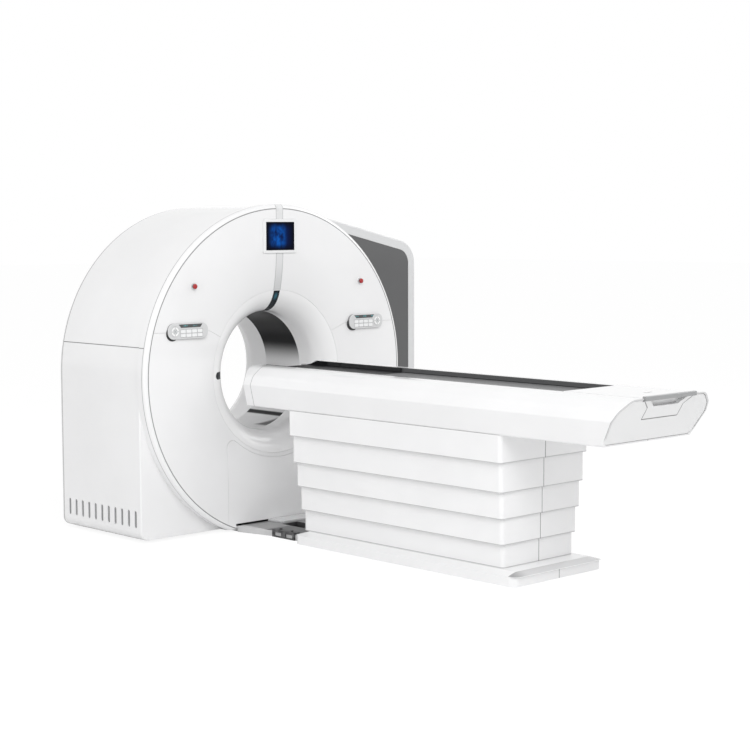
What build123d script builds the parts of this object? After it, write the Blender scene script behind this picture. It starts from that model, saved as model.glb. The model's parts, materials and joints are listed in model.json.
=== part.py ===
from build123d import *

import os
from math import acos, atan2, cos, degrees, hypot, radians, sin, sqrt

# A medical CT scanner: a ring-shaped gantry with its rotor inside, and a patient table in front.
# Millimetres. Z is up, and the floor is Z = 0. Y = 0 is the scan plane: the table is on the -Y
# side and the rear of the gantry on the +Y side. X is to the right, seen from the table.
# The origin is on the floor, under the isocentre.

# Scan axis and bore
ISO_Z = 920.0              # height of the scan axis
BORE_R = 358.0             # inner radius of the bore liner
LINER_T = 5.0              # wall of the bore mouldings
WINDOW_T = 3.5             # wall of the dark ring that the beam passes through
WINDOW_FRONT = -161.0
WINDOW_BACK = 160.0
THROAT_Y = -235.0         # where the bell at the front ends in the straight liner
FUNNEL_R = 485.0           # seam between the front funnel and the covers
BELL_DROP = 29.0           # how far that seam lies behind the flat face
BELL_REACH = 176.0         # radial half axis of the bell's ellipse
ROOT_IN = 6.0              # strut between the funnel's wall and its ledge
ROOT_OUT = 1.0
ROOT_BACK = 2.5
REAR_FLARE_Y = 300.0       # where the rear flare begins
REAR_FLARE_MID_R = 388.0
REAR_FLARE_MID_Y = 389.0
REAR_FUNNEL_R = 470.0

# Gantry covers
FACE_Y = -400.0            # flat front face
SKIN = 5.0                 # wall of the moulded covers
LEDGE_T = 4.0              # ledges behind the skins, which carry the next cover
LEDGE_W = 16.0
SEAM = 1.5                 # open joint between two covers
RIM_R = 992.0              # outer radius of the rim
RIM_EDGE_R = 26.0          # rounding of the rim's front edge
RIM_PROUD = 14.0           # how far the rim stands out from the body
FLANGE_W = 38.0            # width of the body's front flange
FACE_R = RIM_R - RIM_EDGE_R              # seam between the face and the rim
RIM_WALL = 8.0
BODY_R = RIM_R - RIM_PROUD               # arch of the body, and its half width
BODY_FRONT = -328.0
BODY_BACK = 434.0          # where the rear covers begin
REAR_Y = 474.0             # rear face
COVER_Z = 15.0             # lower edge of the covers
CORNER_R = 50.0            # rounding of the body's lower edges
FRONT_EDGE_R = 8.0
REAR_EDGE_R = 25.0
HOOD_SEAM_Z = 1108.0       # seam between the hood and the side covers
LAP = 16.0                 # half height of the lap behind that seam
LAP_T = 4.0
FLANGE_R = BODY_R - FLANGE_W
TURN_IN = 48.0             # width of the turned-in lower lip

# Vents in the left side cover
VENT_COUNT = 11
VENT_FIRST_Y = -276.0
VENT_LAST_Y = 383.0
VENT_W = 22.0
VENT_H = 97.0
VENT_Z = 134.5
REAR_VENT_COUNT = 13
REAR_VENT_PITCH = 52.0
REAR_VENT_H = 110.0
REAR_VENT_Z = 1640.0

# Split of the front cover, at the height of the keypads
SPLIT_Z = 1190.0
SPLIT_TURN_X = 530.0
SPLIT_SLOPE = 0.44

# Lower front door
DOOR_X = 407.0
DOOR_Z = 20.0
DOOR_TOP_R = 510.0         # arc of its upper edge, about the scan axis
DOOR_CORNER_R = 50.0
DOOR_EDGE = 0.5
DOOR_NOTCH_X = 352.0
DOOR_NOTCH_Z = 46.0

# Centre strip and display
STRIP_X = 27.0
BEZEL_W = 256.0
BEZEL_H = 200.0
BEZEL_Z = ISO_Z + FACE_R - 161.5
BEZEL_R = 10.0
BEZEL_PROUD = 7.0
BEZEL_SEAT = 3.0
BEZEL_CHAMFER = 2.0
SCREEN_W = 217.0
SCREEN_H = 166.0
SCREEN_T = 5.0
SCREEN_SINK = 1.0
SCREEN_CLEAR = 0.5

# Laser windows in the funnel
LASER_H = 43.0             # oblong window on each side
LASER_OUT_X = 460.0
LASER_IN_X = 372.0
LASER_CLEAR = 0.5
LASER_TOP = 3.0
TOP_GLASS_X = 23.5         # half width of the glass strip at the top
TOP_GLASS_BACK = -250.0

# Keypads and emergency stops
KEYPAD_X = FACE_R - 274.5
KEYPAD_Z = 1194.0
KEYPAD_W = 283.0
KEYPAD_H = 90.0
KEYPAD_R = 40.0
KEYPAD_PROUD = 11.0
KEYPAD_EDGE_R = 4.0
KEY_MAT_X = KEYPAD_X - 23.0
KEY_MAT_Z = 1182.0
KEY_MAT_W = 160.0
KEY_MAT_H = 46.0
KEY_MAT_R = 5.0
KEY_MAT_BASE = 2.0
KEY_CLEAR = 0.5
KEY_R = 5.0
KEY_COLUMNS = 4
KEY_ROWS = 2
KEY_W = 34.0
KEY_H = 18.0
KEY_PROUD = 1.5
KEY_POCKET = 4.0
BUTTON_X = KEYPAD_X + 93.5
BUTTON_Z = 1194.0
BUTTON_R = 30.0
BUTTON_PROUD = 2.5
BUTTON_DEPTH = 6.0
BUTTON_TRAVEL = 1.5
BUTTON_CLEAR = 0.4
BUTTON_CHAMFER = 1.5
ESTOP_AT = FACE_R - 134.35               # distance from the scan axis
ESTOP_ANGLE = 39.14                      # above the horizontal
ESTOP_X = ESTOP_AT * cos(radians(ESTOP_ANGLE))
ESTOP_Z = ISO_Z + ESTOP_AT * sin(radians(ESTOP_ANGLE))
ESTOP_HEAD_R = 15.0
ESTOP_HEAD_T = 11.0
ESTOP_DOME = 5.0
ESTOP_STEM_R = 8.0
ESTOP_TRAVEL = 4.0
ESTOP_COLLAR_R = 21.0
ESTOP_COLLAR_T = 4.0
ESTOP_REST = 4.0           # head above the collar, pressed
ESTOP_CLEAR = 0.4

# Wing beside the arch
WING_TIP_X = 250.0
WING_TOP_X = 468.0
WING_TOP_Z = ISO_Z + BODY_R - 66.0
WING_BEND_X = BODY_R + 119.0
WING_BEND_Z = WING_TOP_Z - 140.0
WING_SIDE_X = BODY_R + 251.0
WING_FRONT = -300.0
WING_BACK = 330.0
WING_WALL = 5.0
WING_FRONT_WALL = 9.0
WING_GAP = 0.3             # to the arch
WING_OPEN = 22.0           # depth of the open side, next to the arch
WING_FOOT_R = 40.0
WING_EDGE_R = 8.0
PANEL_MARGIN = 58.0
PANEL_T = 4.0
PANEL_SINK = 1.0
PANEL_CLEAR = 1.5
PANEL_BOTTOM = 95.0
PANEL_ARCH_GAP = 30.0
WING_BEND_R = 150.0

# Gantry base and stationary frame
SOLE_X = BODY_R - 98.0
SOLE_FRONT = -250.0
SOLE_BACK = 400.0
SOLE_T = 20.0
ANCHOR_R = 9.0
GANTRY_ANCHOR_X = 700.0
GANTRY_ANCHOR_FRONT = -200.0
GANTRY_ANCHOR_BACK = 350.0
FRAME_FRONT = 160.0
FRAME_BACK = 200.0
FRAME_X = BODY_R - 198.0
FRAME_R = BODY_R - 98.0
FRAME_BORE_R = 505.0
FRAME_ARM_W = 60.0
FRAME_ARM_Z = (300.0, 700.0)
FRAME_HOLE_R = 95.0
FRAME_HOLE_AT = 690.0
FRAME_HOLE_ANGLES = (20.0, 55.0, 125.0, 160.0)
GUSSET_X = 600.0
GUSSET_T = 30.0
GUSSET_H = 480.0
GLAND_X = -420.0
GLAND_Z = 150.0
GLAND_R = 45.0
GLAND_WALL = 6.0
GLAND_CLEAR = 2.0
GLAND_PROUD = 12.0

# Main bearing and slip ring
BEARING_IN_R = 425.0
BEARING_SPLIT_R = 455.0
BEARING_CLEAR = 0.3
BEARING_BACK = 205.0
BEARING_FLANGE_R = 530.0
BEARING_FLANGE_T = 8.0
SLIP_FRONT = 220.0
SLIP_T = 18.0
SLIP_IN_R = 405.0
SLIP_R = 520.0
SLIP_GROOVES = 5
SLIP_GROOVE_W = 8.0
SLIP_GROOVE_T = 3.0
BRUSH_X = 60.0
BRUSH_BACK = 290.0
BRUSH_FOOT_R = 580.0
BRUSH_FOOT_T = 35.0
BRUSH_GAP = 0.3
BRUSH_TOP_R = 410.0

# Rotor
ROTOR_R = 800.0
ROTOR_RIM_T = 20.0
ROTOR_RIM_FRONT = 60.0
ROTOR_PLATE_FRONT = 100.0
ROTOR_PLATE_BACK = 125.0
ROTOR_HUB_R = 400.0
ROTOR_HUB_T = 20.0
ROTOR_HOLE_R = 42.0
ROTOR_HOLE_AT = 735.0
ROTOR_HOLE_COUNT = 12
TUBE_AT = 600.0            # focal spot above the scan axis
TUBE_R = 110.0
TUBE_FRONT = -150.0
TUBE_CAP_R = 85.0
TUBE_CAP_T = 25.0
TUBE_PORT = 60.0
HORN_R = 28.0
HORN_L = 70.0
HORN_AT = 55.0
COLLIMATOR_X = 90.0
COLLIMATOR_FRONT = -60.0
COLLIMATOR_BASE_R = 428.0
COLLIMATOR_SLOT = 30.0
DETECTOR_IN = 1042.0       # from the focal spot
DETECTOR_T = 70.0
DETECTOR_HALF_ANGLE = 24.0
DETECTOR_FRONT = -62.0
DETECTOR_SLOT = 40.0
DETECTOR_SLOT_DEPTH = 18.0
GENERATOR_IN = 480.0
GENERATOR_OUT = 735.0
GENERATOR_HALF = 150.0
GENERATOR_FRONT = -140.0
WEIGHT_IN = 560.0
WEIGHT_OUT = 745.0
WEIGHT_HALF = 105.0
WEIGHT_FRONT = -20.0

# Rotor drive
PULLEY_X = 106.0 - BODY_R
PULLEY_Z = 125.0
PULLEY_R = 60.0
PULLEY_FRONT = 84.0
PULLEY_BACK = 122.0
SHAFT_R = 12.0
SHAFT_CLEAR = 0.05
SHAFT_L = 50.0
MOTOR_R = 68.0
MOTOR_FRONT = 130.0
MOTOR_BACK = 335.0
MOTOR_FOOT_X = 50.0
BELT_FRONT = 88.0
BELT_BACK = 118.0
BELT_T = 4.0
BELT_CLEAR = 0.3

# Docking plate between the gantry and the table
DOCK_Z = 36.0
DOCK_WIDE_X = 345.0
DOCK_NECK_X = 285.0
DOCK_FRONT = -404.0
DOCK_TAPER_Y = -640.0
DOCK_TONGUE_X = 330.0
DOCK_TONGUE_Z = 14.0
PIT_LEFT = -118.0
PIT_RIGHT = 5.0
PIT_FRONT = -730.0
PIT_BACK = -535.0
BRACKET_T = 8.0
BRACKET_FRONT = -850.0
BRACKET_BACK = -655.0
BRACKET_FOOT = 34.0
BRACKET_WINDOW_L = 62.0
BRACKET_WINDOW_H = 20.0
BRACKET_BOLT_R = 9.0
BRACKET_BOLT_T = 7.0

# Table base
PLINTH_X = 346.0
PLINTH_FOOT = -2560.0
PLINTH_HEAD = -912.0
PLINTH_Z = 50.0
PLINTH_R = 40.0
BASE_FOOT = -2572.0
BASE_HEAD = -905.0
BASE_Z = 68.0
BASE_SLOPE = 57.0
BASE_TOP_R = 18.0
BASE_WINDOW_MARGIN = 30.0
TABLE_ANCHOR_X = 200.0
TABLE_ANCHOR_FOOT = -2350.0
TABLE_ANCHOR_HEAD = -1000.0

# Telescoping covers of the table's pedestal, from the widest at the top to the fixed one
TIER_X = 341.0
TIER_FOOT = -2464.0
TIER_HEAD = -858.0
TIER_STEP_X = 16.75
TIER_STEP_FOOT = 10.25
TIER_STEP_HEAD = 13.5
TIER_1_Z = 608.0           # lower edges, when the table is up
TIER_2_Z = 457.0
TIER_3_Z = 321.0
TIER_4_Z = 187.0
TIER_BOTTOMS = (TIER_1_Z, TIER_2_Z, TIER_3_Z, TIER_4_Z)
TIER_R = 22.0
TIER_WALL = 4.0
TIER_LIP = 4.0
TIER_LIP_T = 4.0
TIER_REST = 0.3            # gap between a lip and the flange that it lifts
TIER_SIDE_CLEAR = 1.5
TIER_TOP_FLANGE = 30.0
TIER_SEAM = 1.0

# Lifting columns
COLUMN_YS = (-1250.0, -2080.0)
COLUMN_R = 100.0
COLUMN_WALL = 7.0
COLUMN_CLEAR = 0.3
COLUMN_L = 350.0
COLUMN_STEP = 5.0
COLUMN_FOOT_R = 130.0
COLUMN_FOOT_T = 14.0
LIFT = 440.0               # travel of the table, downwards from where it is drawn
COLUMN_HEAD_X = 130.0
COLUMN_HEAD_Y = 120.0
COLUMN_HEAD_T = 14.0

# Table top: section from the channel to the bottom edge, as half widths and heights
LIP_X = 206.0
LIP_Z = 980.0
SHOULDER_X = 285.0
SHOULDER_Z = 978.0
FLANK_X = 352.0
FLANK_Z = 925.0
SHOULDER = ((SHOULDER_X, SHOULDER_Z), (FLANK_X, FLANK_Z))
SHOULDER_RADII = (80.0, 60.0)
WIDEST_X = 372.0
WIDEST_Z = 876.0
WIDEST_R = 10.0
KEEL_X = 343.0
KEEL_Z = 750.0
KEEL_R = 14.0
TABLE_WALL = 8.0
TABLE_NOSE_TOP = -470.0    # the nose's end is upright, then leans out to this
TABLE_NOSE_BOTTOM = -503.0
NOSE_LEAN_Z = 918.0
NOSE_LIP_Z = 962.0
NOSE_SEAM = -566.0
NOSE_WALL = 8.0
TABLE_FOOT_TOP = -3240.0   # slanted foot end, at the lip's height
TABLE_FOOT_BOTTOM = -3102.0
END_INSET = 2.5
END_T = 8.0
END_SEAM = 2.0
END_KEEL_R = 40.0          # lower corners of the mouth that the end cap fills
END_LEDGE = 8.0            # ledge inside the mouth, which the end cap seats on
END_LAND = 16.0            # depth of the mouth and the ledge
WELL_MARGIN = 32.0

# Channel tray and cradle
TRAY_WALL = 5.0
TRAY_TOP = 978.0
TRAY_FLOOR = 930.0
TRAY_FLOOR_T = 6.0
TRAY_END_GAP = 3.0
TRAY_NOSE = -500.0
RAIL_X = 130.0
RAIL_W = 24.0
RAIL_CLEAR = 0.3
CRADLE_X = 200.0
CRADLE_TOP = 981.0
CRADLE_BOTTOM = 941.0
CRADLE_HEAD = -430.0       # tip at the gantry end; the rims slope down to it
CRADLE_HEAD_Z = 956.0
CRADLE_BEND = -460.0
CRADLE_BEND_Z = 962.0
CRADLE_RIM_END = -505.0
CRADLE_TAIL = -3224.0
CRADLE_STEP = 62.0         # the shell ends this much before the tail cover does
CRADLE_STEP_Z = 967.0
CRADLE_BEVEL_X = 14.0
CRADLE_BEVEL_Z = 16.0
CRADLE_RIM = 5.0
CRADLE_CREASE_X = 186.0
CRADLE_FLOOR = 951.0
LINING_T = 2.5
LINING_GAP = 2.0
LINING_TOP = 979.0
LINING_TAIL = -2748.0
LINING_HEAD = -436.0
TAIL_PLATE_T = 6.0
TAIL_WALL = 5.0
TAIL_SLOT_X = 35.0
TAIL_SLOT_W = 70.0
TAIL_SLOT_L = 14.0
TAIL_SLOT_Y = -3080.0

# Handle at the cradle's tail, and the grip plate under it
HANDLE_BOTTOM = 966.0
HANDLE_TOP = 988.5
HANDLE_TAIL = -3244.0
HANDLE_R = 4.0
GRIP_TOP_X = 187.0
GRIP_TOP_Z = 964.0
GRIP_NECK_X = 140.0
GRIP_NECK_Z = 929.0
GRIP_BOTTOM_Z = 871.0
GRIP_T = 30.0
GRIP_WALL = 5.0
GRIP_BACK_GAP = 0.3
GRIP_SEAM = 2.0
GRIP_RECESS_TOP_X = 144.0
GRIP_RECESS_X = 95.0
GRIP_RECESS_Z = 933.0
GRIP_RECESS_DEPTH = 24.0

# End stops at the cradle's gantry end
STOP_IN_X = 168.0
STOP_L = 38.0
STOP_R = 3.0

BIG = 5000.0               # larger than the scanner, for cutting
OVER = 1.0                 # how far a cut runs past the face that it opens
NEAR = 1.0                 # how close a corner lies to the place that it is looked for at

# Distance along Y for each millimetre of depth behind the slanted foot end
END_STRETCH = sqrt(1 + ((TABLE_FOOT_TOP - TABLE_FOOT_BOTTOM) / (LIP_Z - KEEL_Z)) ** 2)

# The bell: an ellipse about a centre outside the bore, met by the face's own arc
FUNNEL_Y = FACE_Y + BELL_DROP
BELL_R = BORE_R + BELL_REACH
BELL_COS = (BELL_R - FUNNEL_R) / BELL_REACH
BELL_DEPTH = (THROAT_Y - FUNNEL_Y) / sqrt(1 - BELL_COS ** 2)
FACE_TILT = atan2(BELL_DEPTH * BELL_COS, BELL_REACH * sqrt(1 - BELL_COS ** 2))
FACE_ARC_R = BELL_DROP / (1 - cos(FACE_TILT))
FLAT_R = FUNNEL_R + FACE_ARC_R * sin(FACE_TILT)


def outline(points):
    """A flat face with straight sides."""
    return make_face(Polyline(*points, close=True))


def band(x_low, x_high, z_low, z_high):
    """A rectangle between two corners, in the drawing plane."""
    return Pos((x_low + x_high) / 2, (z_low + z_high) / 2) * Rectangle(x_high - x_low, z_high - z_low)


def disc(radius, x=0.0, z=ISO_Z):
    """A circle in the XZ drawing plane, about the scan axis if no centre is given."""
    return Pos(x, z) * Circle(radius)


def slab(drawing, y_front, y_back):
    """A drawing in X and Z, made solid from y_front to y_back."""
    return extrude(Plane.XZ.offset(-y_back) * drawing, amount=y_back - y_front)


def plate(drawing, z_low, z_high):
    """A drawing in X and Y, made solid from z_low to z_high."""
    return extrude(Plane.XY.offset(z_low) * drawing, amount=z_high - z_low)


def block(x_low, x_high, y_low, y_high, z_low, z_high):
    """A box between two corners."""
    middle = ((x_low + x_high) / 2, (y_low + y_high) / 2, (z_low + z_high) / 2)
    return Pos(*middle) * Box(x_high - x_low, y_high - y_low, z_high - z_low)


def turned(profile):
    """A profile in radius (X) and Y, turned about the scan axis."""
    return Pos(0, 0, ISO_Z) * revolve(profile, Axis.Y)


def tube(r_in, r_out, y_front, y_back):
    """A plain ring about the scan axis."""
    return slab(disc(r_out) - disc(r_in), y_front, y_back)


def both_sides(shape):
    """The shape and its mirror image across X = 0."""
    return shape + mirror(shape, about=Plane.YZ)


def above_floor(shape, z_low):
    """The shape without what lies below z_low."""
    return shape - block(-BIG, BIG, -BIG, BIG, -BIG, z_low)


def edges_at(shape, y):
    """The shape's edges that lie in the plane Y = y."""
    near = 0.01
    return [
        e for e in shape.edges()
        if abs(e.bounding_box().min.Y - y) < near and abs(e.bounding_box().max.Y - y) < near
    ]


# Bore


def face_profile(near, far):
    """The front between two depths behind its surface: flat outside, curving inwards to the funnel."""
    half = FACE_TILT / 2
    bend_r = FLAT_R - FACE_ARC_R * sin(half)
    bend_y = FACE_Y + FACE_ARC_R * (1 - cos(half))
    line = Line((FACE_R, FACE_Y + near), (FLAT_R, FACE_Y + near))
    line += ThreePointArc((FLAT_R, FACE_Y + near), (bend_r, bend_y + near), (FUNNEL_R, FUNNEL_Y + near))
    line += Line((FUNNEL_R, FUNNEL_Y + near), (FUNNEL_R, FUNNEL_Y + far))
    line += ThreePointArc((FUNNEL_R, FUNNEL_Y + far), (bend_r, bend_y + far), (FLAT_R, FACE_Y + far))
    line += Line((FLAT_R, FACE_Y + far), (FACE_R, FACE_Y + far))
    line += Line((FACE_R, FACE_Y + far), (FACE_R, FACE_Y + near))
    return make_face(line)


def bell_arc(inset):
    """The bell's ellipse from the bore to the seam, smaller by inset."""
    reach = BELL_REACH - inset
    size = degrees(acos((BELL_R - FUNNEL_R) / reach))
    centre = (BELL_R, THROAT_Y)
    return EllipticalCenterArc(centre, reach, BELL_DEPTH - inset, start_angle=180, arc_size=size)


def funnel_profile():
    """The bell-shaped mouth of the bore, with the ledge behind the covers."""
    front = bell_arc(0)
    back = bell_arc(LINER_T)
    line = Line((BORE_R, THROAT_Y), (BORE_R, WINDOW_FRONT)) + front
    line += Line((BORE_R, WINDOW_FRONT), (BORE_R + LINER_T, WINDOW_FRONT))
    line += Line((BORE_R + LINER_T, WINDOW_FRONT), (BORE_R + LINER_T, THROAT_Y))
    line += back
    line += Line(back @ 1, front @ 1)
    ledge = face_profile(SKIN, SKIN + LEDGE_T) & band(FUNNEL_R, FUNNEL_R + LEDGE_W, -BIG, BIG)
    root = band(FUNNEL_R - ROOT_IN, FUNNEL_R + ROOT_OUT, FUNNEL_Y + ROOT_BACK, FUNNEL_Y + SKIN + LEDGE_T)
    return make_face(line) + root + ledge


def glass_region(clear):
    """The space of the dark glass strip above the bore, clear wider on each side."""
    half = TOP_GLASS_X + clear
    return block(-half, half, FACE_Y, TOP_GLASS_BACK + clear, ISO_Z + BORE_R / 2,
                 ISO_Z + FUNNEL_R - LASER_TOP + clear)


def side_windows(clear):
    """The space of the oblong window on each side of the mouth, clear wider all round."""
    length = LASER_OUT_X - LASER_IN_X + 2 * clear
    shape = Pos((LASER_OUT_X + LASER_IN_X) / 2, ISO_Z) * SlotOverall(length, LASER_H + 2 * clear)
    return both_sides(slab(shape, FACE_Y, THROAT_Y))


def front_funnel():
    return turned(funnel_profile()) - glass_region(LASER_CLEAR) - side_windows(LASER_CLEAR)


def laser_windows():
    """The dark glass strip at the top, and the two side windows of the positioning lasers."""
    wall = turned(funnel_profile())
    return (wall & glass_region(0)) + (wall & side_windows(0))


def scan_window():
    return tube(BORE_R, BORE_R + WINDOW_T, WINDOW_FRONT, WINDOW_BACK)


def rear_funnel():
    """The rear half of the bore liner, flared to the rear face, with its ledge."""
    back = REAR_Y - SKIN
    flare_in = ThreePointArc(
        (BORE_R, REAR_FLARE_Y), (REAR_FLARE_MID_R, REAR_FLARE_MID_Y), (REAR_FUNNEL_R, REAR_Y)
    )
    flare_out = ThreePointArc(
        (REAR_FUNNEL_R + OVER, back - LEDGE_T),
        (REAR_FLARE_MID_R + LINER_T, REAR_FLARE_MID_Y - LINER_T / 2),
        (BORE_R + LINER_T, REAR_FLARE_Y),
    )
    profile = Line((BORE_R, WINDOW_BACK), (BORE_R, REAR_FLARE_Y)) + flare_in
    profile += Line((REAR_FUNNEL_R, REAR_Y), (REAR_FUNNEL_R, back))
    profile += Line((REAR_FUNNEL_R, back), (REAR_FUNNEL_R + LEDGE_W, back))
    profile += Line((REAR_FUNNEL_R + LEDGE_W, back), (REAR_FUNNEL_R + LEDGE_W, back - LEDGE_T))
    profile += Line((REAR_FUNNEL_R + LEDGE_W, back - LEDGE_T), (REAR_FUNNEL_R + OVER, back - LEDGE_T))
    profile += flare_out
    profile += Line((BORE_R + LINER_T, REAR_FLARE_Y), (BORE_R + LINER_T, WINDOW_BACK))
    profile += Line((BORE_R + LINER_T, WINDOW_BACK), (BORE_R, WINDOW_BACK))
    return turned(make_face(profile))


# Gantry covers


def body_outline(inset):
    """The body's outline from the front: an arch on straight sides, with rounded lower edges."""
    half = BODY_R - inset
    arch = disc(half) & band(-half, half, ISO_Z, ISO_Z + half)
    sides = band(-half, half, COVER_Z + inset, ISO_Z)
    lower = [v for v in sides.vertices() if v.Y < ISO_Z - NEAR]
    return arch + fillet(lower, CORNER_R - inset)


def body_shell():
    """The hood and side covers as one shell, before it is split into covers."""
    outer = slab(body_outline(0), BODY_FRONT, BODY_BACK)
    outer = fillet(edges_at(outer, BODY_FRONT), FRONT_EDGE_R)
    shell = outer - slab(body_outline(SKIN), BODY_FRONT + SKIN, BODY_BACK)
    shell -= slab(disc(FLANGE_R), BODY_FRONT - OVER, BODY_FRONT + SKIN + OVER)
    half = BODY_R - TURN_IN
    return shell - block(-half, half, BODY_FRONT - OVER, BODY_BACK + OVER, 0, COVER_Z + CORNER_R)


def hood_cover():
    """The top cover, with a lap behind each lower edge that the side covers seat on."""
    lower = HOOD_SEAM_Z + SEAM / 2
    hood = body_shell() & block(-BIG, BIG, -BIG, BIG, lower, BIG)
    lap = disc(BODY_R - SKIN) - disc(BODY_R - SKIN - LAP_T)
    lap &= band(-BIG, BIG, HOOD_SEAM_Z - LAP, HOOD_SEAM_Z + LAP)
    return hood + slab(lap, BODY_FRONT + SKIN, BODY_BACK)


def side_cover_right():
    upper = HOOD_SEAM_Z - SEAM / 2
    return body_shell() & block(0, BIG, -BIG, BIG, 0, upper)


def side_cover_left():
    """The left cover, with a row of upright vent slots near the floor."""
    cover = mirror(side_cover_right(), about=Plane.YZ)
    pitch = (VENT_LAST_Y - VENT_FIRST_Y) / (VENT_COUNT - 1)
    slots = Sketch()
    for i in range(VENT_COUNT):
        slots += Pos(VENT_FIRST_Y + i * pitch, VENT_Z) * Rot(0, 0, 90) * SlotOverall(VENT_H, VENT_W)
    cut = extrude(Plane.YZ.offset(-BODY_R - OVER) * slots, amount=SKIN + 2 * OVER)
    return cover - cut


def rear_covers():
    """The two rear covers, split at the height of the side seam, with outlet slots at the top."""
    outer = slab(body_outline(0), BODY_BACK, REAR_Y)
    outer = fillet(edges_at(outer, REAR_Y), REAR_EDGE_R)
    inner = slab(body_outline(SKIN), BODY_BACK, REAR_Y - SKIN)
    inner = fillet(edges_at(inner, REAR_Y - SKIN), REAR_EDGE_R - SKIN)
    cap = outer - inner - slab(disc(REAR_FUNNEL_R + SEAM), BODY_BACK, REAR_Y + OVER)
    slots = Sketch()
    for i in range(REAR_VENT_COUNT):
        x = (i - (REAR_VENT_COUNT - 1) / 2) * REAR_VENT_PITCH
        slots += Pos(x, REAR_VENT_Z) * Rot(0, 0, 90) * SlotOverall(REAR_VENT_H, VENT_W)
    cap -= slab(slots, REAR_Y - SKIN - OVER, REAR_Y + OVER)
    cap -= slab(disc(GLAND_R + GLAND_CLEAR, GLAND_X, GLAND_Z), REAR_Y - SKIN - OVER, REAR_Y + OVER)
    upper = cap - block(-BIG, BIG, -BIG, BIG, 0, HOOD_SEAM_Z + SEAM / 2)
    lap = slab(body_outline(SKIN), REAR_Y - SKIN - LAP_T, REAR_Y - SKIN)
    lap &= block(-BIG, BIG, -BIG, BIG, HOOD_SEAM_Z - LAP, HOOD_SEAM_Z + LAP)
    lap -= slab(disc(REAR_FUNNEL_R + LEDGE_W + SEAM), BODY_BACK, REAR_Y)
    lap &= slab(disc(BODY_R - REAR_EDGE_R), BODY_BACK, REAR_Y)
    lower = cap & block(-BIG, BIG, -BIG, BIG, 0, HOOD_SEAM_Z - SEAM / 2)
    return [upper + lap, lower]


def rim_profile():
    """A channel section with a rounded front edge and a ledge that carries the face."""
    arc_r = RIM_R - FACE_R
    arc_y = FACE_Y + arc_r
    inner_r = arc_r - RIM_WALL
    ledge_y = FACE_Y + SKIN
    foot_r = FLANGE_R + LEDGE_W
    turn = sqrt(0.5)
    line = Line((FACE_R, ledge_y), (FACE_R, FACE_Y))
    line += ThreePointArc(
        (FACE_R, FACE_Y), (FACE_R + arc_r * turn, arc_y - arc_r * turn), (RIM_R, arc_y)
    )
    line += Line((RIM_R, arc_y), (RIM_R, BODY_FRONT))
    line += Line((RIM_R, BODY_FRONT), (foot_r, BODY_FRONT))
    line += Line((foot_r, BODY_FRONT), (foot_r, BODY_FRONT - SKIN))
    line += Line((foot_r, BODY_FRONT - SKIN), (RIM_R - RIM_WALL, BODY_FRONT - SKIN))
    line += Line((RIM_R - RIM_WALL, BODY_FRONT - SKIN), (RIM_R - RIM_WALL, arc_y))
    line += ThreePointArc(
        (RIM_R - RIM_WALL, arc_y),
        (FACE_R + inner_r * turn, arc_y - inner_r * turn),
        (FACE_R + LEDGE_T, arc_y - sqrt(inner_r ** 2 - LEDGE_T ** 2)),
    )
    line += Line(
        (FACE_R + LEDGE_T, arc_y - sqrt(inner_r ** 2 - LEDGE_T ** 2)),
        (FACE_R + LEDGE_T, ledge_y + LEDGE_T),
    )
    line += Line((FACE_R + LEDGE_T, ledge_y + LEDGE_T), (FACE_R - LEDGE_W, ledge_y + LEDGE_T))
    line += Line((FACE_R - LEDGE_W, ledge_y + LEDGE_T), (FACE_R - LEDGE_W, ledge_y))
    line += Line((FACE_R - LEDGE_W, ledge_y), (FACE_R, ledge_y))
    return make_face(line)


def strip_region(clear):
    """The space of the centre strip above the bore, clear wider on each side."""
    half = STRIP_X + clear
    return block(-half, half, FACE_Y, BODY_FRONT, ISO_Z + FUNNEL_R, ISO_Z + RIM_R)


def front_rim():
    return above_floor(turned(rim_profile()), COVER_Z) - strip_region(SEAM / 2)


def centre_strip():
    """The narrow strip from the funnel to the top of the rim, in the rim's own section."""
    inner = ISO_Z + FUNNEL_R + LEDGE_W + SEAM
    outer = ISO_Z + FACE_R - LEDGE_W - SEAM
    ledge = band(STRIP_X - SEAM, STRIP_X + LEDGE_W, inner, outer)
    strip = face_skin(band(-STRIP_X, STRIP_X, ISO_Z, BIG) - disc(FUNNEL_R + SEAM))
    strip += both_sides(face_ledge(ledge))
    strip += turned(rim_profile()) & strip_region(0)
    return strip - bezel_pocket()


def split_line(offset):
    """The region below the seam between the front covers, raised by offset."""
    z = SPLIT_Z + offset
    inner_z = z - (SPLIT_TURN_X - FUNNEL_R / 2) * SPLIT_SLOPE
    half = [(0, -BIG), (BIG, -BIG), (BIG, z), (SPLIT_TURN_X, z), (FUNNEL_R / 2, inner_z), (0, inner_z)]
    right = outline(half)
    return right + mirror(right, about=Plane.YZ)


def face_area(r_in, r_out):
    """The front between two radii, above the lower edge of the covers."""
    return (disc(r_out) - disc(r_in)) & band(-BIG, BIG, COVER_Z, BIG)


def face_skin(drawing):
    """The skin of the front inside a drawing."""
    return turned(face_profile(0, SKIN)) & slab(drawing, FACE_Y - OVER, THROAT_Y)


def face_ledge(drawing):
    """A ledge on the back of that skin, inside a drawing."""
    return turned(face_profile(SKIN, SKIN + LEDGE_T)) & slab(drawing, FACE_Y - OVER, THROAT_Y)


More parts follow.
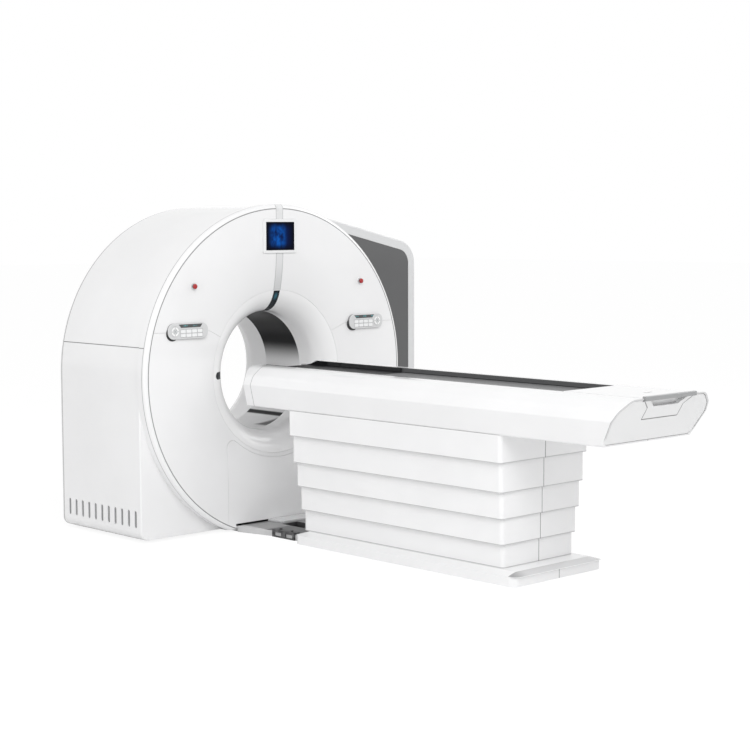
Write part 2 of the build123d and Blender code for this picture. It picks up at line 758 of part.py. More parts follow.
def door_outline(clear):
    """The door's outline, smaller by clear: straight sides, an arched top and two round corners."""
    half = DOOR_X - clear
    side = band(-half, half, DOOR_Z + clear, ISO_Z) - disc(DOOR_TOP_R + clear)
    top = [v for v in side.vertices() if abs(abs(v.X) - half) < NEAR and v.Y > DOOR_Z + DOOR_CORNER_R]
    side = fillet(top, DOOR_CORNER_R)
    side &= disc(FACE_R - SEAM + DOOR_EDGE - clear)
    return side - band(-DOOR_NOTCH_X, DOOR_NOTCH_X, 0, DOOR_NOTCH_Z + clear)


def front_door():
    return face_skin(door_outline(SEAM / 2) & disc(FACE_R - SEAM))


def front_cover_lower():
    """The lower front cover, with the ledges that the door and the upper cover seat on."""
    skin = face_area(FUNNEL_R + SEAM, FACE_R - SEAM) & split_line(-SEAM / 2)
    skin -= door_outline(-SEAM / 2)
    skin -= band(-DOOR_X - SEAM / 2, DOOR_X + SEAM / 2, 0, DOOR_Z + DOOR_CORNER_R)
    area = face_area(FUNNEL_R + LEDGE_W + SEAM, FACE_R - LEDGE_W - SEAM)
    lap = (split_line(LAP) - split_line(-LAP)) & area
    ledge = (door_outline(-LEDGE_W) - door_outline(LEDGE_W)) & area
    ledge &= band(-BIG, BIG, DOOR_NOTCH_Z, BIG)
    return face_skin(skin) + face_ledge(lap + ledge)


def front_cover_upper():
    """The upper front cover, with a collar round each emergency stop."""
    skin = face_area(FUNNEL_R + SEAM, FACE_R - SEAM) - split_line(SEAM / 2)
    skin -= band(-STRIP_X - SEAM / 2, STRIP_X + SEAM / 2, ISO_Z, BIG)
    cover = face_skin(skin) - bezel_pocket()
    collar = disc(ESTOP_COLLAR_R, ESTOP_X, ESTOP_Z)
    cover += both_sides(slab(collar, FACE_Y - ESTOP_COLLAR_T, FACE_Y))
    hole = disc(ESTOP_STEM_R + ESTOP_CLEAR, ESTOP_X, ESTOP_Z)
    return cover - both_sides(slab(hole, FACE_Y - ESTOP_COLLAR_T - OVER, FACE_Y + SKIN + OVER))


# Display, keypads and buttons


def bezel_pocket():
    """The recess in the face that the display's back fits."""
    shape = Pos(0, BEZEL_Z) * RectangleRounded(BEZEL_W + SEAM, BEZEL_H + SEAM, BEZEL_R)
    return slab(shape, FACE_Y - OVER, FACE_Y + BEZEL_SEAT)


def display_bezel():
    frame = slab(Pos(0, BEZEL_Z) * RectangleRounded(BEZEL_W, BEZEL_H, BEZEL_R), FACE_Y - BEZEL_PROUD,
                 FACE_Y + BEZEL_SEAT)
    frame = chamfer(edges_at(frame, FACE_Y - BEZEL_PROUD), BEZEL_CHAMFER)
    return frame - slab(screen_outline(SCREEN_CLEAR), FACE_Y - BEZEL_PROUD - OVER,
                        FACE_Y - BEZEL_PROUD + SCREEN_T)


def screen_outline(clear):
    return Pos(0, BEZEL_Z) * Rectangle(SCREEN_W + 2 * clear, SCREEN_H + 2 * clear)


def display_screen():
    back = FACE_Y - BEZEL_PROUD + SCREEN_T
    return slab(screen_outline(0), back - SCREEN_T + SCREEN_SINK, back)


def keypad_housings():
    """A rounded housing on each side, with a pocket for the key mat and a hole for the button."""
    shape = Pos(KEYPAD_X, KEYPAD_Z) * RectangleRounded(KEYPAD_W, KEYPAD_H, KEYPAD_R)
    front = FACE_Y - KEYPAD_PROUD
    body = slab(shape, front, FUNNEL_Y)
    body = fillet(edges_at(body, front), KEYPAD_EDGE_R)
    body -= turned(face_profile(0, 2 * BELL_DROP))
    mat = Pos(KEY_MAT_X, KEY_MAT_Z) * RectangleRounded(KEY_MAT_W, KEY_MAT_H, KEY_MAT_R)
    body -= slab(mat, front - OVER, front + KEY_POCKET)
    hole = disc(BUTTON_R + BUTTON_CLEAR, BUTTON_X, BUTTON_Z)
    body -= slab(hole, front - OVER, front + BUTTON_DEPTH + BUTTON_TRAVEL + BUTTON_CLEAR)
    return both_sides(body)


def key_mats():
    """The rubber mats: each is one moulding with two rows of keys, which flex and don't travel."""
    front = FACE_Y - KEYPAD_PROUD
    base = Pos(KEY_MAT_X, KEY_MAT_Z) * RectangleRounded(
        KEY_MAT_W - 2 * KEY_CLEAR, KEY_MAT_H - 2 * KEY_CLEAR, KEY_MAT_R - KEY_CLEAR
    )
    mat = slab(base, front + KEY_POCKET - KEY_MAT_BASE, front + KEY_POCKET)
    pitch_x = KEY_MAT_W / KEY_COLUMNS
    pitch_z = KEY_MAT_H / KEY_ROWS
    for column in range(KEY_COLUMNS):
        for row in range(KEY_ROWS):
            x = KEY_MAT_X + (column - (KEY_COLUMNS - 1) / 2) * pitch_x
            z = KEY_MAT_Z + (row - (KEY_ROWS - 1) / 2) * pitch_z
            key = Pos(x, z) * RectangleRounded(KEY_W, KEY_H, KEY_R)
            mat += slab(key, front - KEY_PROUD, front + KEY_POCKET - KEY_MAT_BASE)
    return both_sides(mat)


def keypad_button(side):
    """The round button at the outer end of a keypad; side is 1 on the right and -1 on the left."""
    front = FACE_Y - KEYPAD_PROUD
    button = slab(disc(BUTTON_R, side * BUTTON_X, BUTTON_Z), front - BUTTON_PROUD,
                  front + BUTTON_DEPTH)
    return chamfer(edges_at(button, front - BUTTON_PROUD), BUTTON_CHAMFER)


def estop(side):
    """A mushroom head on a stem that runs in the cover's collar."""
    collar = FACE_Y - ESTOP_COLLAR_T
    back = collar - ESTOP_REST - ESTOP_TRAVEL
    head = slab(disc(ESTOP_HEAD_R, side * ESTOP_X, ESTOP_Z), back - ESTOP_HEAD_T, back)
    head = fillet(edges_at(head, back - ESTOP_HEAD_T), ESTOP_DOME)
    return head + slab(disc(ESTOP_STEM_R, side * ESTOP_X, ESTOP_Z), back, FACE_Y + SKIN)


# Wing


def wing_outline(grow):
    """The wing from the front: a sloping top, a round shoulder and a straight side."""
    slope = (WING_BEND_Z - WING_TOP_Z) / (WING_BEND_X - WING_TOP_X)
    tip_z = WING_TOP_Z + (WING_TIP_X - WING_TOP_X) * slope
    corner_z = WING_TOP_Z + (WING_SIDE_X - WING_TOP_X) * slope
    points = [(WING_TIP_X, COVER_Z), (WING_SIDE_X, COVER_Z), (WING_SIDE_X, corner_z), (WING_TIP_X, tip_z)]
    shape = outline(points)
    shoulder = [v for v in shape.vertices() if v.X > WING_SIDE_X - NEAR and v.Y > ISO_Z]
    shape = fillet(shoulder, WING_BEND_R)
    foot = [v for v in shape.vertices() if v.X > WING_SIDE_X - NEAR and v.Y < ISO_Z]
    shape = fillet(foot, WING_FOOT_R)
    return offset(shape, grow) if grow else shape


def arch_space(gap):
    """The body's own space seen from the front, larger by gap, down to the floor."""
    half = BODY_R + gap
    return disc(half) + band(-half, half, -BIG, ISO_Z)


def panel_outline(clear):
    """The dark panel on the wing's front: the wing's outline set in by a margin."""
    shape = wing_outline(-PANEL_MARGIN - clear) - arch_space(PANEL_ARCH_GAP + clear)
    return shape & band(-BIG, BIG, PANEL_BOTTOM + clear, BIG)


def wing_housing():
    """A moulded shell, open towards the arch, with a shallow recess for the panel."""
    outer = slab(wing_outline(0), WING_FRONT, WING_BACK)
    outer = fillet(outer.edges().filter_by(lambda e: wing_rim(e)), WING_EDGE_R)
    cavity = slab(wing_outline(-WING_WALL), WING_FRONT + WING_FRONT_WALL, WING_BACK - WING_WALL)
    mouth = slab(arch_space(WING_OPEN), WING_FRONT + WING_FRONT_WALL, WING_BACK - WING_WALL)
    housing = outer - cavity - (mouth & slab(wing_outline(-WING_WALL), WING_FRONT, WING_BACK))
    housing -= slab(arch_space(WING_GAP), WING_FRONT - OVER, WING_BACK + OVER)
    return housing - slab(panel_outline(0), WING_FRONT - OVER, WING_FRONT + PANEL_SINK + PANEL_T)


def wing_rim(edge):
    """True for the outer edges of the wing's front and back faces, away from the arch."""
    box = edge.bounding_box()
    flat = box.max.Y - box.min.Y < NEAR
    return flat and box.max.X > WING_TIP_X + NEAR and box.max.Z > COVER_Z + NEAR


def wing_panel():
    back = WING_FRONT + PANEL_SINK + PANEL_T
    return slab(panel_outline(PANEL_CLEAR), back - PANEL_T, back)


# Gantry base and stationary frame


def gantry_base_frame():
    """The steel sole plate, its four anchor holes, two gussets and the cable inlet at the rear."""
    sole = block(-SOLE_X, SOLE_X, SOLE_FRONT, SOLE_BACK, 0, SOLE_T)
    for y in (GANTRY_ANCHOR_FRONT, GANTRY_ANCHOR_BACK):
        for x in (-GANTRY_ANCHOR_X, GANTRY_ANCHOR_X):
            sole -= Pos(x, y, SOLE_T / 2) * Cylinder(ANCHOR_R, SOLE_T + 2 * OVER)
    web = outline([(FRAME_BACK, SOLE_T), (SOLE_BACK, SOLE_T), (FRAME_BACK, GUSSET_H)])
    gusset = extrude(Plane.YZ.offset(GUSSET_X - GUSSET_T / 2) * web, amount=GUSSET_T)
    inlet = slab(disc(GLAND_R, GLAND_X, GLAND_Z) - disc(GLAND_R - GLAND_WALL, GLAND_X, GLAND_Z),
                 SOLE_BACK, REAR_Y + GLAND_PROUD)
    post = block(GLAND_X - GLAND_R, GLAND_X + GLAND_R, SOLE_BACK - GUSSET_T, SOLE_BACK, SOLE_T,
                 GLAND_Z + GLAND_R)
    hole = disc(GLAND_R - GLAND_WALL, GLAND_X, GLAND_Z)
    post -= slab(hole, SOLE_BACK - GUSSET_T - OVER, SOLE_BACK + OVER)
    return sole + both_sides(gusset) + inlet + post


def stationary_frame():
    """The upright ring plate that holds the main bearing, with arms that carry the covers."""
    ring = disc(FRAME_R) + band(-FRAME_X, FRAME_X, SOLE_T, ISO_Z)
    ring &= band(-BIG, BIG, SOLE_T, BIG)
    inside = BODY_R - SKIN
    for z in FRAME_ARM_Z:
        ring += band(-inside, inside, z - FRAME_ARM_W / 2, z + FRAME_ARM_W / 2)
    crown = band(-FRAME_ARM_W / 2, FRAME_ARM_W / 2, ISO_Z, BIG) & disc(inside)
    ring += crown
    for angle in FRAME_HOLE_ANGLES:
        x = FRAME_HOLE_AT * cos(radians(angle))
        z = ISO_Z + FRAME_HOLE_AT * sin(radians(angle))
        ring -= disc(FRAME_HOLE_R, x, z)
    return slab(ring - disc(FRAME_BORE_R), FRAME_FRONT, FRAME_BACK)


def bearing_outer_ring():
    """The fixed ring of the main bearing, with a flange on the back of the frame."""
    ring = tube(BEARING_SPLIT_R + BEARING_CLEAR, FRAME_BORE_R, FRAME_FRONT, FRAME_BACK)
    back = FRAME_BACK + BEARING_FLANGE_T
    return ring + tube(BEARING_SPLIT_R + BEARING_CLEAR, BEARING_FLANGE_R, FRAME_BACK, back)


def bearing_inner_ring():
    """The turning ring of the main bearing, between the rotor's plate and the slip ring."""
    return tube(BEARING_IN_R, BEARING_SPLIT_R, ROTOR_PLATE_BACK, SLIP_FRONT)


def slip_ring():
    """A disc with concentric contact tracks in its rear face."""
    ring = tube(SLIP_IN_R, SLIP_R, SLIP_FRONT, SLIP_FRONT + SLIP_T)
    back = SLIP_FRONT + SLIP_T
    pitch = (SLIP_R - BRUSH_TOP_R) / SLIP_GROOVES
    for i in range(SLIP_GROOVES):
        r = BRUSH_TOP_R + (i + 1 / 2) * pitch
        ring -= tube(r, r + SLIP_GROOVE_W, back - SLIP_GROOVE_T, back + OVER)
    return ring


def brush_block():
    """The fixed block that carries the brushes, on a foot at the back of the frame."""
    foot = block(-BRUSH_X, BRUSH_X, FRAME_BACK, BRUSH_BACK, ISO_Z - BRUSH_FOOT_R,
                 ISO_Z - BRUSH_FOOT_R + BRUSH_FOOT_T)
    brushes = block(-BRUSH_X, BRUSH_X, SLIP_FRONT + SLIP_T + BRUSH_GAP, BRUSH_BACK,
                    ISO_Z - BRUSH_FOOT_R, ISO_Z - BRUSH_TOP_R)
    return foot + brushes


# Rotor


def rotor_drum():
    """The rotor's plate with its hub and the outer rim that the belt runs on."""
    drum = tube(ROTOR_HUB_R, ROTOR_R, ROTOR_PLATE_FRONT, ROTOR_PLATE_BACK)
    drum += tube(ROTOR_R - ROTOR_RIM_T, ROTOR_R, ROTOR_RIM_FRONT, ROTOR_PLATE_BACK)
    drum += tube(ROTOR_HUB_R, ROTOR_HUB_R + ROTOR_HUB_T, ROTOR_RIM_FRONT, ROTOR_PLATE_BACK)
    holes = Sketch()
    for i in range(ROTOR_HOLE_COUNT):
        angle = radians((i + 1 / 2) * 360 / ROTOR_HOLE_COUNT)
        holes += disc(ROTOR_HOLE_R, ROTOR_HOLE_AT * cos(angle), ISO_Z + ROTOR_HOLE_AT * sin(angle))
    return drum - slab(holes, ROTOR_PLATE_FRONT - OVER, ROTOR_PLATE_BACK + OVER)


def xray_tube():
    """The tube's lead-lined housing on the rotor's plate, with two cable horns and a port."""
    z = ISO_Z + TUBE_AT
    body = slab(disc(TUBE_R, 0, z), TUBE_FRONT, ROTOR_PLATE_FRONT)
    body += slab(disc(TUBE_CAP_R, 0, z), TUBE_FRONT - TUBE_CAP_T, TUBE_FRONT)
    horn = Pos(HORN_AT, TUBE_FRONT + HORN_R + TUBE_CAP_T, z + TUBE_R) * Cylinder(HORN_R, HORN_L)
    body += both_sides(horn)
    port_z = z - TUBE_R
    return body - block(-TUBE_PORT, TUBE_PORT, -TUBE_PORT / 2, TUBE_PORT / 2, port_z, port_z + TUBE_CAP_T)


def collimator():
    """The box of beam-shaping jaws between the tube and the bore, with its slot."""
    z_low = ISO_Z + COLLIMATOR_BASE_R
    z_high = ISO_Z + TUBE_AT - TUBE_R
    body = block(-COLLIMATOR_X, COLLIMATOR_X, COLLIMATOR_FRONT, ROTOR_PLATE_FRONT, z_low, z_high)
    slot = block(-TUBE_PORT, TUBE_PORT, -COLLIMATOR_SLOT / 2, COLLIMATOR_SLOT / 2, z_low - OVER, z_high + OVER)
    return body - slot


def detector_array():
    """The curved detector, centred on the focal spot, with the groove that faces the beam."""
    focus = ISO_Z + TUBE_AT
    reach = BIG * sin(radians(DETECTOR_HALF_ANGLE))
    drop = BIG * cos(radians(DETECTOR_HALF_ANGLE))
    fan = outline([(0, focus), (-reach, focus - drop), (reach, focus - drop)])
    arc = (disc(DETECTOR_IN + DETECTOR_T, 0, focus) - disc(DETECTOR_IN, 0, focus)) & fan
    body = slab(arc, DETECTOR_FRONT, ROTOR_PLATE_FRONT)
    groove = disc(DETECTOR_IN + DETECTOR_SLOT_DEPTH, 0, focus)
    return body - slab(groove, -DETECTOR_SLOT / 2, DETECTOR_SLOT / 2)


def hv_generator():
    """The high-voltage tank on the right of the rotor."""
    tank = block(GENERATOR_IN, GENERATOR_OUT, GENERATOR_FRONT, ROTOR_PLATE_FRONT,
                 ISO_Z - GENERATOR_HALF, ISO_Z + GENERATOR_HALF)
    return fillet(tank.edges().filter_by(Axis.Y), ROTOR_HUB_T)


def balance_weights():
    """Steel weights opposite the high-voltage tank, which balance the rotor."""
    return block(-WEIGHT_OUT, -WEIGHT_IN, WEIGHT_FRONT, ROTOR_PLATE_FRONT,
                 ISO_Z - WEIGHT_HALF, ISO_Z + WEIGHT_HALF)


# Rotor drive


def belt_loop(grow):
    """The area inside an open belt round the rotor's rim and the motor pulley, larger by grow."""
    big_r = ROTOR_R + grow
    small_r = PULLEY_R + grow
    run_x = PULLEY_X
    run_z = PULLEY_Z - ISO_Z
    away = atan2(run_z, run_x)
    spread = acos((big_r - small_r) / hypot(run_x, run_z))
    corners = []
    for side in (1, -1):
        angle = away + side * spread
        near = (big_r * cos(angle), ISO_Z + big_r * sin(angle))
        far = (PULLEY_X + small_r * cos(angle), PULLEY_Z + small_r * sin(angle))
        corners += [near, far] if side == 1 else [far, near]
    return outline(corners) + disc(big_r) + disc(small_r, PULLEY_X, PULLEY_Z)


def drive_belt():
    loop = belt_loop(BELT_CLEAR + BELT_T) - belt_loop(BELT_CLEAR)
    return slab(loop, BELT_FRONT, BELT_BACK)


def drive_pulley():
    """The motor pulley with its shaft."""
    wheel = slab(disc(PULLEY_R, PULLEY_X, PULLEY_Z), PULLEY_FRONT, PULLEY_BACK)
    return wheel + slab(disc(SHAFT_R, PULLEY_X, PULLEY_Z), PULLEY_BACK, PULLEY_BACK + SHAFT_L)


def drive_motor():
    """The motor on its foot, with the hole that the pulley's shaft runs in."""
    body = slab(disc(MOTOR_R, PULLEY_X, PULLEY_Z), MOTOR_FRONT, MOTOR_BACK)
    left = PULLEY_X - MOTOR_FOOT_X
    body += block(left, PULLEY_X + MOTOR_FOOT_X, MOTOR_FRONT, MOTOR_BACK, SOLE_T, PULLEY_Z)
    hole = disc(SHAFT_R + SHAFT_CLEAR, PULLEY_X, PULLEY_Z)
    return body - slab(hole, MOTOR_FRONT - OVER, PULLEY_BACK + SHAFT_L + OVER)


# Docking plate


def docking_plate():
    """The floor plate that ties the table to the gantry, with the open cable pit."""
    half = [
        (0, PLINTH_HEAD), (DOCK_NECK_X, PLINTH_HEAD), (DOCK_NECK_X, DOCK_TAPER_Y - BRACKET_T),
        (DOCK_WIDE_X, DOCK_FRONT), (0, DOCK_FRONT),
    ]
    right = outline(half)
    body = plate(right + mirror(right, about=Plane.YZ), 0, DOCK_Z)
    body += block(-DOCK_TONGUE_X, DOCK_TONGUE_X, DOCK_FRONT, SOLE_FRONT, 0, DOCK_TONGUE_Z)
    return body - block(PIT_LEFT, PIT_RIGHT, PIT_FRONT, PIT_BACK, -OVER, DOCK_Z + OVER)


def docking_brackets():
    """An upright steel bracket with two windows and two bolts, along each side of the neck."""
    x_in = DOCK_NECK_X
    side = block(x_in, x_in + BRACKET_T, BRACKET_FRONT, BRACKET_BACK, 0, DOCK_Z)
    side += block(x_in - BRACKET_FOOT, x_in + BRACKET_T, BRACKET_FRONT, BRACKET_BACK, DOCK_Z,
                  DOCK_Z + BRACKET_T)
    length = BRACKET_BACK - BRACKET_FRONT
    for part in (1 / 4, 3 / 4):
        y = BRACKET_FRONT + part * length
        reach = BRACKET_WINDOW_L / 2
        side -= block(x_in - OVER, x_in + BRACKET_T + OVER, y - reach, y + reach,
                      (DOCK_Z - BRACKET_WINDOW_H) / 2, (DOCK_Z + BRACKET_WINDOW_H) / 2)
        bolt = RegularPolygon(BRACKET_BOLT_R, 6)
        side += plate(Pos(x_in - BRACKET_FOOT / 2, y) * bolt, DOCK_Z + BRACKET_T,
                      DOCK_Z + BRACKET_T + BRACKET_BOLT_T)
    return both_sides(side)


# Table base


def table_plinth():
    """The base plate of the table, with its four anchor holes."""
    middle = (PLINTH_FOOT + PLINTH_HEAD) / 2
    shape = Pos(0, middle) * RectangleRounded(2 * PLINTH_X, PLINTH_HEAD - PLINTH_FOOT, PLINTH_R)
    shape += band(-DOCK_NECK_X, DOCK_NECK_X, middle, PLINTH_HEAD)
    for y in (TABLE_ANCHOR_FOOT, TABLE_ANCHOR_HEAD):
        for x in (-TABLE_ANCHOR_X, TABLE_ANCHOR_X):
            shape -= Pos(x, y) * Circle(ANCHOR_R)
    return plate(shape, 0, PLINTH_Z)


def base_cover():
    """The sloping cover on the plinth, open inside the lowest tier."""
    low_l = BASE_HEAD - BASE_FOOT
    low_y = (BASE_FOOT + BASE_HEAD) / 2
    low = Pos(0, low_y, PLINTH_Z) * RectangleRounded(2 * PLINTH_X, low_l, PLINTH_R)
    high_l = low_l - 2 * BASE_SLOPE
    high = Pos(0, low_y, BASE_Z) * RectangleRounded(2 * (PLINTH_X - BASE_SLOPE), high_l, BASE_TOP_R)
    cover = loft([low, high])
    half_x, foot, head = tier_walls(len(TIER_BOTTOMS))
    margin = BASE_WINDOW_MARGIN
    return cover - block(margin - half_x, half_x - margin, foot + margin, head - margin - BASE_SLOPE,
                         PLINTH_Z - OVER, BASE_Z + OVER)


# Pedestal


def tier_walls(index):
    """Half width, foot end and gantry end of a tier, outside; 0 is the uppermost."""
    return (
        TIER_X - index * TIER_STEP_X,
        TIER_FOOT + index * TIER_STEP_FOOT,
        TIER_HEAD - index * TIER_STEP_HEAD,
    )


def tier_plan(index, inset):
    """A tier's plan with rounded corners, smaller by inset."""
    half_x, foot, head = tier_walls(index)
    length = head - foot - 2 * inset
    radius = max(TIER_R - inset, TIER_WALL)
    return Pos(0, (foot + head) / 2) * RectangleRounded(2 * (half_x - inset), length, radius)


def tier_bottom(index):
    return TIER_BOTTOMS[index] if index < len(TIER_BOTTOMS) else BASE_Z


def tier(index):
    """One tier as two half covers that meet at X = 0.

    A lip at its foot lifts the flange at the top of the next tier down.
    """
    bottom = tier_bottom(index)
    top = KEEL_Z
    if index > 0:
        top = tier_bottom(index - 1) + TIER_LIP_T + TIER_REST + TIER_LIP_T
    wall = plate(tier_plan(index, 0) - tier_plan(index, TIER_WALL), bottom, top)
    if index < len(TIER_BOTTOMS):
        lip = tier_plan(index, TIER_WALL / 2) - tier_plan(index, TIER_WALL + TIER_LIP)
        wall += plate(lip, bottom, bottom + TIER_LIP_T)
    if index > 0:
        reach = tier_plan(index - 1, TIER_WALL + TIER_SIDE_CLEAR)
        wall += plate(reach - tier_plan(index, TIER_WALL), top - TIER_LIP_T, top)
    else:
        flange = tier_plan(index, TIER_WALL / 2) - tier_plan(index, TIER_TOP_FLANGE)
        wall += plate(flange, top - TIER_LIP_T, top)
    cut = TIER_SEAM / 2
    right = wall & block(cut, BIG, -BIG, BIG, 0, BIG)
    left = wall & block(-BIG, -cut, -BIG, BIG, 0, BIG)
    return [left, right]


def column_tubes(stage):
    """One stage of both lifting columns; stage 0 is fixed, and stage 2 carries the table."""
    radius = COLUMN_R - stage * (COLUMN_WALL + COLUMN_CLEAR)
    bottom = PLINTH_Z + stage * COLUMN_STEP + stage * LIFT / 2
    ring = Circle(radius) - Circle(radius - COLUMN_WALL)
    tray_under = TRAY_FLOOR - TRAY_FLOOR_T
    tubes = []
    for y in COLUMN_YS:
        top = bottom + COLUMN_L
        tube_part = plate(Pos(0, y) * ring, bottom, top)
        if stage == 0:
            foot = Circle(COLUMN_FOOT_R) - Circle(radius - COLUMN_WALL)
            tube_part += plate(Pos(0, y) * foot, bottom, bottom + COLUMN_FOOT_T)
        if stage == 2:
            tube_part += plate(Pos(0, y) * ring, top, tray_under - COLUMN_HEAD_T)
            head = Pos(0, y) * Rectangle(2 * COLUMN_HEAD_X, 2 * COLUMN_HEAD_Y)
            tube_part += plate(head, tray_under - COLUMN_HEAD_T, tray_under)
        tubes.append(tube_part)
    return tubes


# Table top


def table_section(inset, keel_r=KEEL_R):
    """The table top's section, closed across the channel, smaller by inset."""
    points = [(-KEEL_X, KEEL_Z), (KEEL_X, KEEL_Z), (WIDEST_X, WIDEST_Z)]
    radii = [keel_r, keel_r, WIDEST_R]
    points += reversed(SHOULDER)
    radii += reversed(SHOULDER_RADII)
    points += [(LIP_X, LIP_Z), (-LIP_X, LIP_Z)]
    radii += [0, 0]
    points += [(-x, z) for x, z in SHOULDER]
    radii += SHOULDER_RADII
    points.append((-WIDEST_X, WIDEST_Z))
    radii.append(WIDEST_R)
    shape = outline(points)
    for corner, radius in zip(points, radii):
        if radius:
            near = [v for v in shape.vertices() if hypot(v.X - corner[0], v.Y - corner[1]) < NEAR]
            shape = fillet(near, radius)
    return offset(shape, -inset, kind=Kind.INTERSECTION) if inset else shape


def slanted(top_y, bottom_y, depth):
    """A wall-like block on the table side of a slanted plane, for cutting the table's ends."""
    slope = (top_y - bottom_y) / (LIP_Z - KEEL_Z)
    low_y = bottom_y - slope * KEEL_Z
    high_y = low_y + slope * 2 * LIP_Z
    web = outline([(low_y, 0), (high_y, 2 * LIP_Z), (high_y + depth, 2 * LIP_Z), (low_y + depth, 0)])
    return extrude(Plane.YZ.offset(-BIG / 2) * web, amount=BIG)


def well_space(clear):
    """The channel along the table top, open upwards, where the tray sits."""
    half = LIP_X + clear
    return band(-half, half, TRAY_FLOOR - TRAY_FLOOR_T - clear, 2 * LIP_Z)


def table_housing():
    """The long moulded housing, with its slanted foot end and holes over the columns."""
    body = slab(table_section(0), TABLE_FOOT_TOP - OVER, NOSE_SEAM - SEAM / 2)
    body &= slanted(TABLE_FOOT_TOP, TABLE_FOOT_BOTTOM, BIG)
    land = END_LAND * END_STRETCH
    hollow = slab(table_section(TABLE_WALL), TABLE_FOOT_TOP - OVER, NOSE_SEAM)
    body -= hollow & slanted(TABLE_FOOT_TOP + land, TABLE_FOOT_BOTTOM + land, BIG)
    seat = (END_INSET + END_T) * END_STRETCH
    mouth = slab(table_section(TABLE_WALL, END_KEEL_R), TABLE_FOOT_TOP - OVER, NOSE_SEAM)
    body -= mouth & slanted(TABLE_FOOT_TOP + seat, TABLE_FOOT_BOTTOM + seat, -BIG)
    body -= slab(table_section(TABLE_WALL + END_LEDGE, END_KEEL_R), TABLE_FOOT_TOP - OVER, NOSE_SEAM)
    body -= slab(well_space(0), TABLE_FOOT_TOP - OVER, NOSE_SEAM)
    for y in COLUMN_YS:
        reach = COLUMN_R + WELL_MARGIN
        body -= block(-reach, reach, y - reach, y + reach, KEEL_Z - OVER, KEEL_Z + TABLE_WALL + OVER)
    return body


def nose_form(shrink):
    """The nose from the side: an upright end that leans out under the lip; smaller by shrink."""
    low = TABLE_NOSE_BOTTOM - shrink
    high = TABLE_NOSE_TOP - shrink
    side = outline([
        (NOSE_SEAM - OVER, 0), (low, 0), (low, NOSE_LEAN_Z), (high, NOSE_LIP_Z),
        (high, LIP_Z + OVER), (NOSE_SEAM - OVER, LIP_Z + OVER),
    ])
    return extrude(Plane.YZ.offset(-WIDEST_X) * side, amount=2 * WIDEST_X)


def table_nose_cap():
    """The cap at the gantry end, open along the channel."""
    cap = slab(table_section(0), NOSE_SEAM + SEAM / 2, TABLE_NOSE_TOP) & nose_form(0)
    inner = slab(table_section(NOSE_WALL), NOSE_SEAM - OVER, TABLE_NOSE_TOP) & nose_form(NOSE_WALL)
    inner -= slab(well_space(NOSE_WALL), NOSE_SEAM - 2 * OVER, 0)
    return cap - inner - slab(well_space(0), NOSE_SEAM - OVER, 0)


def end_slab(section, depth_in, depth_out):
    """The part of a section between two planes parallel to the slanted foot end."""
    body = slab(section, TABLE_FOOT_TOP - OVER, TABLE_FOOT_BOTTOM + GRIP_T + GRIP_WALL + 2 * END_LAND)
    near = depth_out * END_STRETCH
    far = depth_in * END_STRETCH
    body &= slanted(TABLE_FOOT_TOP + near, TABLE_FOOT_BOTTOM + near, BIG)
    return body & slanted(TABLE_FOOT_TOP + far, TABLE_FOOT_BOTTOM + far, -BIG)


def grip_outline(grow):
    """The grip plate's outline from the foot end: wide at the top, with a straight lower part."""
    half = [
        (0, GRIP_BOTTOM_Z), (GRIP_NECK_X, GRIP_BOTTOM_Z), (GRIP_NECK_X, GRIP_NECK_Z),
        (GRIP_TOP_X, GRIP_TOP_Z), (0, GRIP_TOP_Z),
    ]
    right = outline(half)
    shape = right + mirror(right, about=Plane.YZ)
    return offset(shape, grow, kind=Kind.INTERSECTION) if grow else shape


def table_end_cap():
    """The plate that closes the slanted foot end, with a pocket for the grip plate."""
    section = table_section(TABLE_WALL + END_SEAM, END_KEEL_R) - band(-LIP_X, LIP_X, GRIP_TOP_Z, BIG)
    cap = end_slab(section, END_INSET + END_T, END_INSET)
    back = end_slab(grip_outline(GRIP_WALL), END_INSET + GRIP_T + GRIP_WALL, END_INSET)
    cap += back & block(-BIG, BIG, -BIG, BIG, 0, GRIP_TOP_Z)
    return cap - end_slab(grip_outline(GRIP_SEAM), END_INSET + GRIP_T, -END_T)


def grip_plate():
    """The plate under the cradle's handle, with a recess for the fingers."""
    body = end_slab(grip_outline(0), END_INSET + GRIP_T - GRIP_BACK_GAP, END_INSET)
    half = [
        (0, GRIP_RECESS_Z), (GRIP_RECESS_X, GRIP_RECESS_Z), (GRIP_RECESS_TOP_X, GRIP_TOP_Z + OVER),
        (0, GRIP_TOP_Z + OVER),
    ]
    right = outline(half)
    recess = right + mirror(right, about=Plane.YZ)
    return body - end_slab(recess, END_INSET + GRIP_RECESS_DEPTH, -END_T)


def channel_tray():
    """The tray in the table top, open at the gantry end, with two guide rails for the cradle."""
    outer = band(-LIP_X, LIP_X, TRAY_FLOOR - TRAY_FLOOR_T, TRAY_TOP)
    inner = LIP_X - TRAY_WALL
    section = outer - band(-inner, inner, TRAY_FLOOR, BIG)
    rail = band(RAIL_X - RAIL_W / 2, RAIL_X + RAIL_W / 2, TRAY_FLOOR, CRADLE_BOTTOM - RAIL_CLEAR)
    section += rail + mirror(rail, about=Plane.YZ)
    foot = END_INSET + GRIP_WALL + GRIP_T + TRAY_END_GAP
    body = slab(section, TABLE_FOOT_TOP, TRAY_NOSE)
    depth = foot * END_STRETCH
    return body & slanted(TABLE_FOOT_TOP + depth, TABLE_FOOT_BOTTOM + depth, BIG)


# Cradle


def trough(floor, crease_x, top_x, top_z):
    """The hollow side of the cradle: a flat floor and two leaning walls."""
    return outline([(-crease_x, floor), (crease_x, floor), (top_x, top_z), (-top_x, top_z)])


